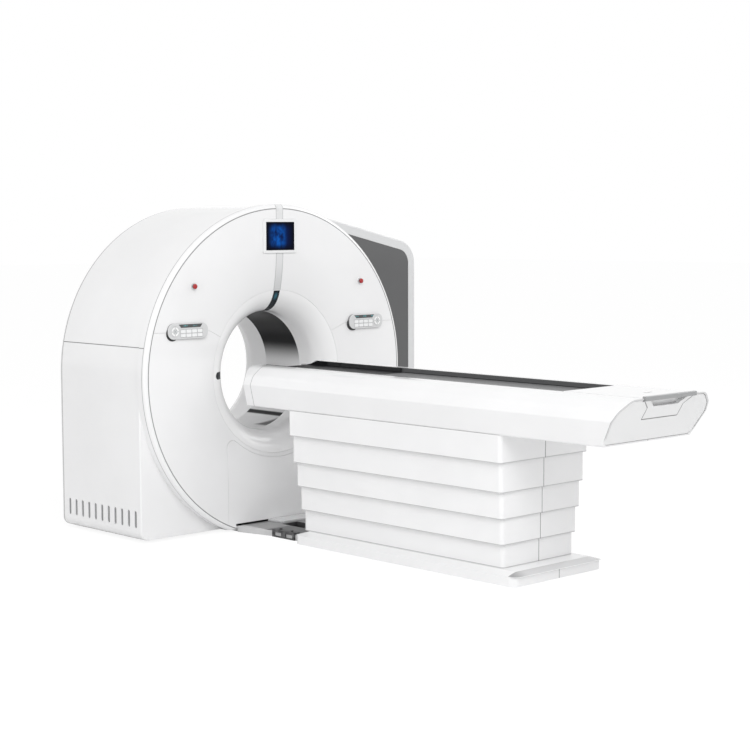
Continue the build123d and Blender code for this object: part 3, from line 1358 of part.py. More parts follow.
def cradle_section():
    low_x = CRADLE_X - CRADLE_BEVEL_X
    low_z = CRADLE_BOTTOM + CRADLE_BEVEL_Z
    outer = outline([
        (-low_x, CRADLE_BOTTOM), (low_x, CRADLE_BOTTOM), (CRADLE_X, low_z), (CRADLE_X, CRADLE_TOP),
        (-CRADLE_X, CRADLE_TOP), (-CRADLE_X, low_z),
    ])
    slope = (CRADLE_X - CRADLE_RIM - CRADLE_CREASE_X) / (CRADLE_TOP - CRADLE_FLOOR)
    top_x = CRADLE_X - CRADLE_RIM + OVER
    return outer - trough(CRADLE_FLOOR, CRADLE_CREASE_X, top_x, CRADLE_TOP + OVER / slope)


def head_space(drop):
    """The space above the cradle's gantry end, where the rims slope down; drop lowers it."""
    top = CRADLE_TOP + drop + OVER
    side = [
        (CRADLE_RIM_END, top), (CRADLE_RIM_END, CRADLE_TOP), (CRADLE_BEND, CRADLE_BEND_Z),
        (CRADLE_HEAD, CRADLE_HEAD_Z), (CRADLE_HEAD + OVER, CRADLE_HEAD_Z), (CRADLE_HEAD + OVER, top),
    ]
    web = outline([(y, z - drop) for y, z in side])
    return extrude(Plane.YZ.offset(-CRADLE_X - OVER) * web, amount=2 * (CRADLE_X + OVER))


def cradle_shell():
    """The carbon-fibre trough that the patient lies in, open at the gantry end."""
    body = slab(cradle_section(), CRADLE_TAIL + CRADLE_STEP, CRADLE_HEAD) - head_space(0)
    return body - block(-BIG, BIG, CRADLE_TAIL, LINING_TAIL, CRADLE_TOP - TAIL_PLATE_T, BIG)


def cradle_lining():
    """The thin dark mat on the trough's floor and walls."""
    outer = trough(CRADLE_FLOOR, CRADLE_CREASE_X, CRADLE_X - CRADLE_RIM - LINING_GAP, LINING_TOP)
    inner = trough(CRADLE_FLOOR + LINING_T, CRADLE_CREASE_X - LINING_T,
                   CRADLE_X - CRADLE_RIM - LINING_GAP - LINING_T, LINING_TOP + LINING_T)
    return slab(outer - inner, LINING_TAIL, LINING_HEAD) - head_space(LINING_GAP)


def cradle_end_stops():
    """A rounded block at each corner of the cradle's gantry end."""
    stop = block(STOP_IN_X, CRADLE_X, CRADLE_HEAD, CRADLE_HEAD + STOP_L, CRADLE_BOTTOM, CRADLE_HEAD_Z)
    return both_sides(fillet(stop.edges(), STOP_R))


def tail_cover():
    """The white cover over the trough's tail, hollow underneath, with a small latch slot."""
    top_x = CRADLE_X - CRADLE_RIM
    body = slab(trough(CRADLE_FLOOR, CRADLE_CREASE_X, top_x, CRADLE_TOP), CRADLE_TAIL, LINING_TAIL)
    body += block(-CRADLE_X, CRADLE_X, CRADLE_TAIL, LINING_TAIL, CRADLE_TOP - TAIL_PLATE_T, CRADLE_TOP)
    step = CRADLE_TAIL + CRADLE_STEP
    body -= block(-CRADLE_X, CRADLE_X, CRADLE_TAIL - OVER, step, CRADLE_FLOOR - OVER, CRADLE_STEP_Z)
    body += block(-CRADLE_X, CRADLE_X, CRADLE_TAIL, step, CRADLE_STEP_Z, CRADLE_TOP)
    inner_x = CRADLE_CREASE_X - TAIL_WALL
    body -= block(-inner_x, inner_x, step + TAIL_WALL, LINING_TAIL - TAIL_WALL, CRADLE_FLOOR - OVER,
                  CRADLE_TOP - TAIL_PLATE_T)
    return body - block(TAIL_SLOT_X - TAIL_SLOT_W / 2, TAIL_SLOT_X + TAIL_SLOT_W / 2,
                        TAIL_SLOT_Y - TAIL_SLOT_L / 2, TAIL_SLOT_Y + TAIL_SLOT_L / 2,
                        CRADLE_TOP - TAIL_PLATE_T - OVER, CRADLE_TOP + OVER)


def tail_handle():
    """The grey pull bar across the end of the cradle."""
    bar = block(-CRADLE_X, CRADLE_X, HANDLE_TAIL, CRADLE_TAIL, HANDLE_BOTTOM, HANDLE_TOP)
    return fillet(bar.edges().filter_by(Axis.X), HANDLE_R)


def nodes():
    """Every node's name and its solid or solids."""
    parts = {
        "gantry_base_frame": gantry_base_frame(),
        "stationary_frame": stationary_frame(),
        "bearing_outer_ring": bearing_outer_ring(),
        "front_cover_upper": front_cover_upper(),
        "front_cover_lower": front_cover_lower(),
        "front_rim": front_rim(),
        "front_door": front_door(),
        "front_funnel": front_funnel(),
        "scan_window": scan_window(),
        "rear_funnel": rear_funnel(),
        "hood_cover": hood_cover(),
        "side_cover_left": side_cover_left(),
        "side_cover_right": side_cover_right(),
        "rear_covers": rear_covers(),
        "wing_housing": wing_housing(),
        "wing_panel": wing_panel(),
        "display_bezel": display_bezel(),
        "display_screen": display_screen(),
        "centre_strip": centre_strip(),
        "laser_windows": laser_windows(),
        "keypad_housings": keypad_housings(),
        "key_mats": key_mats(),
        "keypad_button_left": keypad_button(-1),
        "keypad_button_right": keypad_button(1),
        "estop_left": estop(-1),
        "estop_right": estop(1),
        "brush_block": brush_block(),
        "drive_motor": drive_motor(),
        "drive_belt": drive_belt(),
        "drive_pulley": drive_pulley(),
        "rotor_drum": rotor_drum(),
        "bearing_inner_ring": bearing_inner_ring(),
        "slip_ring": slip_ring(),
        "xray_tube": xray_tube(),
        "collimator": collimator(),
        "detector_array": detector_array(),
        "hv_generator": hv_generator(),
        "balance_weights": balance_weights(),
        "docking_plate": docking_plate(),
        "docking_brackets": docking_brackets(),
        "table_plinth": table_plinth(),
        "base_cover": base_cover(),
        "column_outer_tubes": column_tubes(0),
        "column_middle_tubes": column_tubes(1),
        "column_inner_tubes": column_tubes(2),
        "table_housing": table_housing(),
        "table_nose_cap": table_nose_cap(),
        "table_end_cap": table_end_cap(),
        "grip_plate": grip_plate(),
        "channel_tray": channel_tray(),
        "cradle_shell": cradle_shell(),
        "cradle_lining": cradle_lining(),
        "cradle_end_stops": cradle_end_stops(),
        "tail_cover": tail_cover(),
        "tail_handle": tail_handle(),
    }
    for index in range(len(TIER_BOTTOMS) + 1):
        parts[f"pedestal_tier_{index + 1}"] = tier(index)
    return parts


os.makedirs("parts", exist_ok=True)
for name, shape in nodes().items():
    if isinstance(shape, list):
        shape = Compound(children=[solid for piece in shape for solid in piece.solids()])
    export_step(shape, f"parts/{name}.step")
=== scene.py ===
import json
import math

import bpy
from mathutils import Matrix, Vector


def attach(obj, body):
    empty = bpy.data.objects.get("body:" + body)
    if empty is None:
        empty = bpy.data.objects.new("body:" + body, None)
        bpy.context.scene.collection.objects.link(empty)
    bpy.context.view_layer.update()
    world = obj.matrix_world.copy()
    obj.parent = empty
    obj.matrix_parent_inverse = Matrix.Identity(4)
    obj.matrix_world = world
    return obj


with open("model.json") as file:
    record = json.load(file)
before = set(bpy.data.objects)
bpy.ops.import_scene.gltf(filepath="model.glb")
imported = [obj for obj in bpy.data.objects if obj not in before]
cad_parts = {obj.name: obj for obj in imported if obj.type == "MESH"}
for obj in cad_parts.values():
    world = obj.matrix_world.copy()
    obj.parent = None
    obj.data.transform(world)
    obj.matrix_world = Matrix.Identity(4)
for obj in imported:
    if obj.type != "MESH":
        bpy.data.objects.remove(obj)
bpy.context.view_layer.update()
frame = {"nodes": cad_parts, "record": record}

# Metres and degrees, and millimetres for the lens. Z is up, Y = 0 is the scan plane, the patient
# table is on the -Y side, and X is to the right seen from the table. The origin is on the floor,
# under the isocentre.

# Camera
CAMERA_PLACE = (-6.4752, -7.9843, 1.7856)
CAMERA_YAW = 43.715
CAMERA_PITCH = 5.0915
CAMERA_ROLL = -0.177
CAMERA_LENS = 80.6
SENSOR = 36.0

# Light and floor. A lamp has a name, a place, the point it aims at, a side and a power.
WORLD_LEVEL = 0.67
LAMPS = (
    ("key", (-4.0, -7.0, 6.5), (0, -0.8, 0.8), 5.0, 306.0),
    ("fill", (6.5, -3.0, 4.5), (0, -0.6, 0.8), 4.0, 100.0),
    ("side", (-7.2, -1.6, 2.2), (0, -0.3, 0.8), 4.0, 50.0),
)
FLOOR_SIZE = 120.0
FLOOR_TONE = 0.9
FLOOR_GLOW = 0.85
FLOOR_WHITE = 1.06

# Joints of the gantry's white covers. OUT stands for the square of the distance from the scan axis.
# STEP is the short distance within which a line stops.
ISO_Z = 0.92
STEP = 0.001
SIDE_SEAM_X = 0.90
SIDE_SEAM_Z = 1.108
RIM_LINE_Y = -0.373
RIM_LINE_OUT = 0.955
FACE_LINE_R = 0.966
FACE_LINE_FRONT = -0.412
FACE_LINE_BACK = -0.385
HOOD_LINE_Y = 0.446
HOOD_LINE_OUT = 0.93

# Joints of the table's white covers. The lines at the tiers' feet are joints, and painted shade
# under each tier's lip as well.
FOOT_JOINT_Y = -2.30
FOOT_JOINT_Z = 0.76
NOSE_SEAM_Y = -0.566
NOSE_SEAM_Z = 0.74
CAP_TOP_Y = -3.240
CAP_TOP_Z = 0.98
CAP_SLANT = 0.6
CAP_LINE_BACK = 0.003
CAP_LINE_Y = -3.0
CAP_LINE_Z = 0.77
TIER_FEET = (0.610, 0.459, 0.323, 0.189, 0.070)
TIER_LINE_Y = -0.85
BASE_FOOT_Y = -2.515
BASE_SLOPE_Z = 0.0505
BASE_SHADE_X = -0.22

# Grip plate in the table's end, narrow below its neck and wider above
GRIP_HALF = 0.140
GRIP_TOP_HALF = 0.187
GRIP_TOP_Z = 0.964
GRIP_NECK_Z = 0.929
GRIP_LOW_Z = 0.871
GRIP_STEP = 0.002
GRIP_SPREAD = (GRIP_TOP_HALF - GRIP_HALF) / (GRIP_TOP_Z - GRIP_NECK_Z)

# Cradle and its lining. The threads are in radians per metre.
CARBON_THREADS = 900.0
LINING_FLOOR = 0.9535
LINING_WALL_Z = LINING_FLOOR + 0.001
LINING_CREASE_SHADE_Z = LINING_FLOOR + 0.0035
LINING_BLACK_END = -0.60
LINING_BLACK_FADE = 0.02
LINING_JOINT = -0.72
LINING_DARK_END = -1.23
LINING_DARK_FADE = 0.03

# Centre strip, laser windows and display. SPOT is the brightest place on the display, and FALL
# says how fast it dims, in parts per square metre.
STRIP_HALF = 0.027
STRIP_TOP = 1.60
STRIP_FOOT = 1.41
GROOVE = 0.006
LASER_Z = 1.369
LASER_HALF_X = 0.02
LASER_HALF_Z = 0.03
SCREEN_Z = 1.7245
SCREEN_HALF_X = 0.108
SCREEN_HALF_Z = 0.083
SPOT_X = -0.022
SPOT_FALL_X = 140.0
SPOT_FALL_Z = 50.0

# Scan window, with painted reflections. Its bands are in radians per metre. Its front corner is
# dark where Y, plus a lean times the distance from the middle, is low: a painted reflection of the
# table's dark underside.
WINDOW_REFLECTION_TURN_Z = 1.07
WINDOW_REFLECTION_BANDS = 55.0
WINDOW_REFLECTION_START = 1.2
WINDOW_REFLECTED_STRAP_Z = 0.629
WINDOW_CORNER_Y = 0.06
WINDOW_CORNER_Z = 0.568
WINDOW_CORNER_LEAN = 1.1

# Keypads and stops. The words are in radians per metre, and the gap between the button's arcs is
# the product of the two distances from its middle.
KEYPAD_FRONT = -0.411
KEYPAD_EDGE = 0.0015
KEYPAD_MIDDLE_Z = 1.194
BUTTON_X = 0.785
BUTTON_Z = 1.194
BUTTON_RING = 0.021
BUTTON_CROSS = 0.026
BUTTON_ARC_GAP = 0.00005
STOP_SIDE_Y = -0.4190
DISPLAY_PROUD = 0.0008
DISPLAY_LOW = (0.591, KEYPAD_FRONT - DISPLAY_PROUD, 1.214)
DISPLAY_HIGH = (0.759, KEYPAD_FRONT + DISPLAY_PROUD, 1.2335)
DISPLAY_TEXT_Z = 1.225
DISPLAY_TEXT_HALF = 0.005
DISPLAY_WORDS = 95.0
DISPLAY_TAPER = 0.81
DISPLAY_EDGE = 0.0003
# Dark discs behind the keypads' left ends, put there as painted shade
SHADOW_DISC_X = {"left": -0.7965, "right": 0.588}
SHADOW_DISC_Y = -0.3965
SHADOW_DISC_Z = 1.183
SHADOW_DISC_R = 0.043
SHADOW_DISC_T = 0.012
SHADOW_DISC_SIDES = 96

# Low parts of the gantry, and the docking plate. The pleats are in radians per metre.
THIN_EDGE = 0.0012
SKIRT_LOW = (0.34, -0.328, 0.0155)
SKIRT_HIGH = (0.9295, -0.3235, 0.066)
FILTER_X = -0.9725
FILTER_T = 0.006
FILTER_LOW = (FILTER_X, -0.31, 0.076)
FILTER_HIGH = (FILTER_X + FILTER_T, 0.42, 0.194)
FILTER_EDGE = 0.002
FILTER_PLEATS = 1400.0
DOCK_LIP_X = 0.296
DOCK_WALL_X = 0.27
DOCK_TOP_Z = 0.036
DOCK_UNDER_Z = DOCK_TOP_Z - 0.002
DOCK_NOSE_Y = -0.60
PIT_LOW = (-0.118, -0.730, 0.0005)
PIT_HIGH = (0.005, -0.535, 0.0045)
PIT_EDGE = 0.001
RAISED_LOW = (-0.112, -0.532, 0.0355)
RAISED_HIGH = (0.235, -0.404, 0.0480)
RAISED_CORNER = (0.02, 0.012, 0.0)
RAISED_EDGE = 0.003

# Materials


class Nodes:
    """A node tree, and the one way in which nodes are added to it."""

    def __init__(self, tree):
        self.tree = tree

    def link(self, signal, socket):
        self.tree.links.new(signal.socket, socket)

    def node(self, kind, settings, values, output=0):
        made = self.tree.nodes.new(kind)
        for name, setting in settings.items():
            setattr(made, name, setting)
        sockets = {s.identifier: s for s in made.inputs}
        for key, value in values.items():
            socket = made.inputs[key] if isinstance(key, int) else sockets[key]
            if isinstance(value, Signal):
                self.link(value, socket)
            else:
                socket.default_value = value
        outputs = {s.identifier: s for s in made.outputs}
        return Signal(self, made.outputs[output] if isinstance(output, int) else outputs[output])

    def ray(self, kind):
        """1 where a ray is of a kind."""
        return self.node("ShaderNodeLightPath", {}, {}, kind)


class Signal:
    """One output of a node. Arithmetic on it adds Math nodes."""

    def __init__(self, nodes, socket):
        self.nodes = nodes
        self.socket = socket

    def math(self, operation, first, second=0.0):
        return self.nodes.node("ShaderNodeMath", {"operation": operation}, {0: first, 1: second})

    def __add__(self, other):
        return self.math("ADD", self, other)

    def __radd__(self, other):
        return self.math("ADD", other, self)

    def __sub__(self, other):
        return self.math("SUBTRACT", self, other)

    def __rsub__(self, other):
        return self.math("SUBTRACT", other, self)

    def __mul__(self, other):
        return self.math("MULTIPLY", self, other)

    def __rmul__(self, other):
        return self.math("MULTIPLY", other, self)

    def either(self, other):
        """The greater of two signals."""
        return self.math("MAXIMUM", self, other)

    def size(self):
        """The signal without its sign."""
        return self.math("ABSOLUTE", self)

    def squared(self):
        return self * self

    def sine(self):
        return self.math("SINE", self)

    def wave(self):
        """The sine, moved to lie between 0 and 1."""
        return self.sine() * 0.5 + 0.5

    def ramp(self, low, high):
        """0 below low and 1 above high, with a soft step between."""
        values = {"Value": self, "From Min": low, "From Max": high}
        return self.nodes.node("ShaderNodeMapRange", {"interpolation_type": "SMOOTHSTEP"}, values)

    def past(self, place, soft):
        """0 up to a place and 1 from a soft step beyond it."""
        return self.ramp(place, place + soft)

    def before(self, place, soft):
        """0 from a place on and 1 until a soft step before it."""
        return (place - self).ramp(0.0, soft)

    def line(self, place, half):
        """1 along a line at a place, fading over the outer half of its half width."""
        return 1.0 - (self - place).size().ramp(0.5 * half, half)


class Finish(Nodes):
    """A material with one Principled shader, and the nodes that vary it."""

    def __init__(self, name, color, roughness, metal=0.0, coat=0.0, coat_roughness=0.05, specular=0.5):
        self.material = bpy.data.materials.new(name)
        self.material.use_nodes = True
        super().__init__(self.material.node_tree)
        self.shader = self.tree.nodes["Principled BSDF"]
        self.shader.inputs["Base Color"].default_value = (*color, 1)
        self.shader.inputs["Roughness"].default_value = roughness
        self.shader.inputs["Metallic"].default_value = metal
        self.shader.inputs["Coat Weight"].default_value = coat
        self.shader.inputs["Coat Roughness"].default_value = coat_roughness
        self.shader.inputs["Specular IOR Level"].default_value = specular

    def place(self):
        return self.node("ShaderNodeTexCoord", {}, {}, "Object")

    def axes(self, names):
        """The place on the object, as a number along each named axis."""
        place = self.place()
        return [self.node("ShaderNodeSeparateXYZ", {}, {"Vector": place}, name) for name in names]

    def noise(self, scale, detail=2.0, stretch=None):
        """Cloudy noise. A stretch scales its axes, so that a low value draws it out along one."""
        place = self.place()
        if stretch:
            place = self.node("ShaderNodeMapping", {}, {"Vector": place, "Scale": stretch})
        values = {"Vector": place, "Scale": scale, "Detail": detail}
        return self.node("ShaderNodeTexNoise", {}, values, "Fac")

    def mix(self, amount, first, second):
        values = {"Factor_Float": amount}
        for key, color in (("A_Color", first), ("B_Color", second)):
            values[key] = color if isinstance(color, Signal) else (*color, 1)
        return self.node("ShaderNodeMix", {"data_type": "RGBA"}, values, "Result_Color")

    def drive(self, socket, signal):
        self.link(signal, self.shader.inputs[socket])

    def paint(self, amount, first, second):
        """Mixes two tones into the base colour, and keeps the mix so that it can be painted over."""
        self.tone = self.mix(amount, first, second)
        self.drive("Base Color", self.tone)

    def roughen(self, low, more, signal):
        self.drive("Roughness", low + more * signal)

    def glow(self, amount, first, second):
        self.drive("Emission Color", self.mix(amount, first, second))
        self.shader.inputs["Emission Strength"].default_value = 1.0

    def bump(self, height, strength, distance):
        values = {"Strength": strength, "Distance": distance, "Height": height}
        self.drive("Normal", self.node("ShaderNodeBump", {}, values))


def moulded(name, color, roughness=0.34, coat=0.7, peel=0.10, tint=0.97):
    """A painted moulding: faint orange peel, and a little change of tone and gloss."""
    finish = Finish(name, color, roughness, coat=coat, coat_roughness=0.06)
    shade = tuple(c * tint for c in color)
    finish.paint(finish.noise(1.7, detail=3.0).ramp(0.35, 0.65), shade, color)
    finish.roughen(roughness - 0.04, 0.08, finish.noise(9.0, detail=3.0))
    finish.bump(finish.noise(420.0), strength=peel, distance=0.0004)
    return finish


def cover_white():
    """Gloss white, with the dark joints between the covers of the gantry and of the table, and painted shade
    under the tiers' lips.
    """
    finish = moulded("cover_white", (0.895, 0.895, 0.90))
    x, y, z = finish.axes("XYZ")
    out = x.squared() + (z - ISO_Z).squared()
    seam = z.line(SIDE_SEAM_Z, half=0.0030) * x.size().past(SIDE_SEAM_X, soft=0.02)
    seam = seam * y.ramp(RIM_LINE_Y - STEP, RIM_LINE_Y + STEP) * y.before(HOOD_LINE_Y, soft=0.002)
    rim = y.line(RIM_LINE_Y, half=0.0040) * out.past(RIM_LINE_OUT, soft=0.01)
    face = out.line(FACE_LINE_R * FACE_LINE_R, half=0.0075)
    face = face * y.past(FACE_LINE_FRONT, soft=0.004) * y.before(FACE_LINE_BACK, soft=0.002)
    hood = y.line(HOOD_LINE_Y, half=0.0050) * out.past(HOOD_LINE_OUT, soft=0.01)
    foot = x.line(0.0, half=0.0028) * y.before(FOOT_JOINT_Y, soft=0.02) * z.before(FOOT_JOINT_Z, soft=0.005)
    nose = y.line(NOSE_SEAM_Y, half=0.0026) * z.past(NOSE_SEAM_Z, soft=0.01)
    cap_y = CAP_TOP_Y + (CAP_TOP_Z - z) * CAP_SLANT + CAP_LINE_BACK
    cap = (y - cap_y).line(0.0, half=0.004) * z.past(CAP_LINE_Z, soft=0.03) * y.before(CAP_LINE_Y, soft=0.01)
    # Dark lines at the tiers' feet: joints, darkened further as painted shade under each tier's lip
    tier_joints_and_shade = sum(z.line(height, half=0.0036) for height in TIER_FEET) * y.before(TIER_LINE_Y, soft=0.01)
    # Each joint, and how dark it is drawn. The tiers' lines are also painted shade.
    joints = (
        (seam, 1.0), (rim, 0.6), (face, 0.85), (hood, 0.7),
        (foot, 1.0), (nose, 0.7), (cap, 0.55), (tier_joints_and_shade, 0.5),
    )
    finish.paint(sum(joint * shade for joint, shade in joints), finish.tone, (0.20, 0.20, 0.205))
    return finish


def base_white():
    """The white of the base, with a grey slope at the foot end that is darker at its left corner."""
    white = (0.88, 0.88, 0.885)
    finish = moulded("base_white", white)
    x, y, z = finish.axes("XYZ")
    slope = y.before(BASE_FOOT_Y, soft=0.004) * z.past(BASE_SLOPE_Z, soft=0.0015)
    corner = x.before(BASE_SHADE_X, soft=0.115)
    finish.paint(slope, white, finish.mix(corner, (0.60, 0.60, 0.605), (0.34, 0.34, 0.345)))
    return finish


def end_white():
    """The end of the table, a little darker than the covers' white as painted shade, with the dark joint
    round the grip plate.
    """
    # A little darker than the covers' white: painted shade on the table's end
    white = (0.87, 0.872, 0.875)
    finish = moulded("end_white", white, roughness=0.3, coat=0.5, peel=0.05)
    x, z = finish.axes("XZ")
    across = x.size() - GRIP_HALF
    above = z.ramp(GRIP_NECK_Z - STEP, GRIP_NECK_Z + STEP)
    low = z.line(GRIP_LOW_Z, half=0.0032) * across.before(GRIP_STEP, soft=GRIP_STEP)
    lower = across.line(0.0, half=0.0032) * (1.0 - above) * z.past(GRIP_LOW_Z - GRIP_STEP, soft=GRIP_STEP)
    upper = (across - (z - GRIP_NECK_Z) * GRIP_SPREAD).line(0.0, half=0.0048) * above
    finish.paint((low + lower + upper) * 0.75, white, (0.12, 0.12, 0.122))
    return finish


# Painted light: a brighter white than the covers', for the funnel, which lies in shade
def bell_brightened_white():
    return moulded("bell_brightened_white", (0.95, 0.95, 0.953))


def frame_silver():
    return moulded("frame_silver", (0.70, 0.705, 0.71), roughness=0.30, coat=0.8)


def panel_grey():
    return moulded("panel_grey", (0.098, 0.099, 0.101), roughness=0.30, coat=0.5, peel=0.05, tint=0.94)


def strip_grey():
    """A light grey moulding, darker towards the tunnel and in the groove along each edge."""
    finish = moulded("strip_grey", (0.74, 0.745, 0.75), roughness=0.28, coat=0.6, peel=0.05)
    x, z = finish.axes("XZ")
    groove = x.size().past(STRIP_HALF - GROOVE, soft=0.005)
    fade = 0.5 * z.before(STRIP_TOP, soft=STRIP_TOP - STRIP_FOOT)
    finish.paint(groove + fade, (0.76, 0.765, 0.77), (0.50, 0.505, 0.51))
    return finish


def keypad_grey():
    """A pale housing whose narrow side carries painted shade, darkest low down."""
    pale = (0.66, 0.665, 0.67)
    finish = moulded("keypad_grey", pale, roughness=0.32, coat=0.5, peel=0.06)
    y, z = finish.axes("YZ")
    # Painted shade down the narrow side, darker still towards the bottom
    side = y.past(KEYPAD_FRONT + KEYPAD_EDGE, soft=0.0025)
    low = z.before(KEYPAD_MIDDLE_Z, soft=0.04)
    finish.paint(side, pale, finish.mix(low, (0.27, 0.27, 0.275), (0.02, 0.02, 0.021)))
    return finish


def bezel_grey():
    return moulded("bezel_grey", (0.87, 0.875, 0.88), roughness=0.3, coat=0.5, peel=0.05)


def button_grey():
    """A grey round pad, printed with a dark diagonal cross in a pale broken ring."""
    finish = moulded("button_grey", (0.80, 0.815, 0.82), roughness=0.35, coat=0.3, peel=0.04)
    x, z = finish.axes("XZ")
    across = x.size() - BUTTON_X
    up = z - BUTTON_Z
    strokes = (across - up).line(0.0, half=0.0030) + (across + up).line(0.0, half=0.0030)
    inside = (across.size() + up.size()).before(BUTTON_CROSS, soft=0.004)
    ring = (across.squared() + up.squared()).line(BUTTON_RING * BUTTON_RING, half=0.00025)
    arcs = (across * up).size().past(BUTTON_ARC_GAP, soft=0.00003)
    printed = finish.mix(ring * arcs, (0.62, 0.625, 0.63), (0.93, 0.93, 0.93))
    finish.paint(strokes * inside * 0.5, printed, (0.20, 0.26, 0.26))
    return finish


def stop_red():
    """A red head, with painted shade down its side."""
    finish = moulded("stop_red", (0.50, 0.012, 0.015), roughness=0.26, coat=0.6, peel=0.03)
    [y] = finish.axes("Y")
    # Painted shade down the side of the head
    side = y.ramp(STOP_SIDE_Y - STEP, STOP_SIDE_Y + STEP)
    finish.paint(side, (0.40, 0.009, 0.012), (0.06, 0.002, 0.003))
    return finish


def handle_grey():
    return moulded("handle_grey", (0.36, 0.365, 0.37), roughness=0.36, coat=0.3, peel=0.12)


def key_white():
    """Matt silicone rubber: white keys with a faint bloom, on a greyer mat."""
    white = (0.86, 0.865, 0.87)
    finish = Finish("key_white", white, roughness=0.55, specular=0.35)
    [y] = finish.axes("Y")
    keys = finish.mix(finish.noise(60.0, detail=3.0).ramp(0.3, 0.7), white, (0.90, 0.905, 0.91))
    finish.paint(y.past(KEYPAD_FRONT, soft=0.001), keys, (0.60, 0.605, 0.61))
    finish.roughen(0.5, 0.12, finish.noise(200.0))
    finish.bump(finish.noise(900.0), strength=0.08, distance=0.0002)
    return finish


def window_black():
    """The scan window: near black with painted reflections, level bands above, grey with a dark strap and
    corner below.
    """
    black = (0.018, 0.018, 0.020)
    finish = Finish("window_black", black, roughness=0.30, coat=0.06, coat_roughness=0.08, specular=0.06)
    x, y, z = finish.axes("XYZ")
    fibres = finish.noise(30.0, detail=4.0, stretch=(1, 14, 1))
    # Painted reflections: level bands in the dark upper part, and a grey lower part
    reflected_band = (z * WINDOW_REFLECTION_BANDS + WINDOW_REFLECTION_START).wave()
    dark = finish.mix(fibres * 0.4 + reflected_band * 0.6, (0.004, 0.004, 0.005), (0.022, 0.022, 0.024))
    grey = finish.mix(fibres, (0.74, 0.74, 0.745), (0.82, 0.82, 0.825))
    plain = finish.mix(z.before(WINDOW_REFLECTION_TURN_Z, soft=0.14), dark, grey)
    # Painted reflection of the table's dark underside: a strap, and a corner at the front
    reflected_strap = z.line(WINDOW_REFLECTED_STRAP_Z, half=0.013)
    corner = (y + x.size() * WINDOW_CORNER_LEAN).before(WINDOW_CORNER_Y, soft=0.05)
    corner = corner * z.past(WINDOW_CORNER_Z, soft=0.006) * z.before(WINDOW_REFLECTED_STRAP_Z, soft=0.01)
    finish.paint(reflected_strap + corner * 0.85, plain, (0.012, 0.012, 0.013))
    finish.roughen(0.26, 0.1, fibres)
    return finish


def laser_glass():
    """Near-black glass with a cold glow where the laser unit sits behind it."""
    glass = (0.012, 0.016, 0.020)
    finish = Finish("laser_glass", glass, roughness=0.12, coat=0.05, coat_roughness=0.04, specular=0.1)
    x, z = finish.axes("XZ")
    near = (z - LASER_Z).size().before(LASER_HALF_Z, soft=0.03) * x.size().before(LASER_HALF_X, soft=0.02)
    haze = 0.6 + 0.8 * finish.noise(70.0, detail=3.0)
    finish.paint(finish.noise(40.0), (0.010, 0.013, 0.016), (0.022, 0.028, 0.034))
    finish.glow(near * haze, (0, 0, 0), (0.012, 0.09, 0.125))
    return finish


def screen():
    """A lit display: drifting blue light on near black, brighter left of the middle."""
    finish = Finish("screen", (0.003, 0.004, 0.008), roughness=0.35, specular=0.02)
    x, z = finish.axes("XZ")
    fall = (x - SPOT_X).squared() * SPOT_FALL_X + (z - SCREEN_Z).squared() * SPOT_FALL_Z
    streaks = finish.noise(26.0, detail=4.0, stretch=(1.0, 1.0, 0.7))
    inside = x.size().before(SCREEN_HALF_X, soft=0.07)
    inside = inside * (z - SCREEN_Z).size().before(SCREEN_HALF_Z, soft=0.05)
    light = fall.before(1.0, soft=1.15) * streaks.ramp(0.3, 0.7) * inside
    haze = finish.mix(inside, (0.0, 0.0, 0.001), (0.001, 0.008, 0.060))
    finish.paint(streaks, (0.002, 0.003, 0.006), (0.005, 0.006, 0.011))
    finish.glow(light, haze, (0.003, 0.135, 0.62))
    return finish


def dock_grey():
    """The floor plate: a pale edge, a mid grey top, and darker towards the table and in the pit."""
    finish = moulded("dock_grey", (0.5, 0.5, 0.5), roughness=0.4, coat=0.2, peel=0.12)
    dark = (0.075, 0.075, 0.077)
    x, y, z = finish.axes("XYZ")
    top = finish.mix(y.before(DOCK_NOSE_Y, soft=0.02), (0.27, 0.27, 0.272), dark)
    cut = finish.mix(x.size().past(DOCK_WALL_X, soft=0.005), dark, (0.55, 0.55, 0.555))
    plate = finish.mix(z.before(DOCK_UNDER_Z, soft=0.001), top, cut)
    finish.paint(x.size().past(DOCK_LIP_X, soft=0.004), plate, (0.58, 0.58, 0.585))
    return finish


def bracket_dark():
    """Dark phosphated steel, a little worn."""
    finish = Finish("bracket_dark", (0.10, 0.10, 0.103), roughness=0.42, metal=0.6)
    wear = finish.noise(50.0, detail=4.0).ramp(0.35, 0.7)
    finish.paint(wear, (0.07, 0.07, 0.072), (0.16, 0.16, 0.163))
    finish.roughen(0.36, 0.16, wear)
    return finish


def steel_frame():
    """Grey powder coat with a fine texture."""
    finish = Finish("steel_frame", (0.30, 0.32, 0.34), roughness=0.5, coat=0.15)
    finish.paint(finish.noise(5.0, detail=4.0), (0.26, 0.28, 0.30), (0.34, 0.36, 0.38))
    finish.roughen(0.42, 0.2, finish.noise(40.0))
    finish.bump(finish.noise(700.0, detail=3.0), strength=0.3, distance=0.0004)
    return finish


def steel_bright():
    """Brushed steel, with fine lines along the table's length."""
    finish = Finish("steel_bright", (0.56, 0.565, 0.57), roughness=0.3, metal=1.0)
    lines = finish.noise(260.0, detail=3.0, stretch=(1.0, 0.03, 1.0))
    finish.paint(lines, (0.44, 0.445, 0.45), (0.66, 0.665, 0.67))
    finish.roughen(0.22, 0.2, lines)
    finish.bump(lines, strength=0.12, distance=0.0002)
    return finish


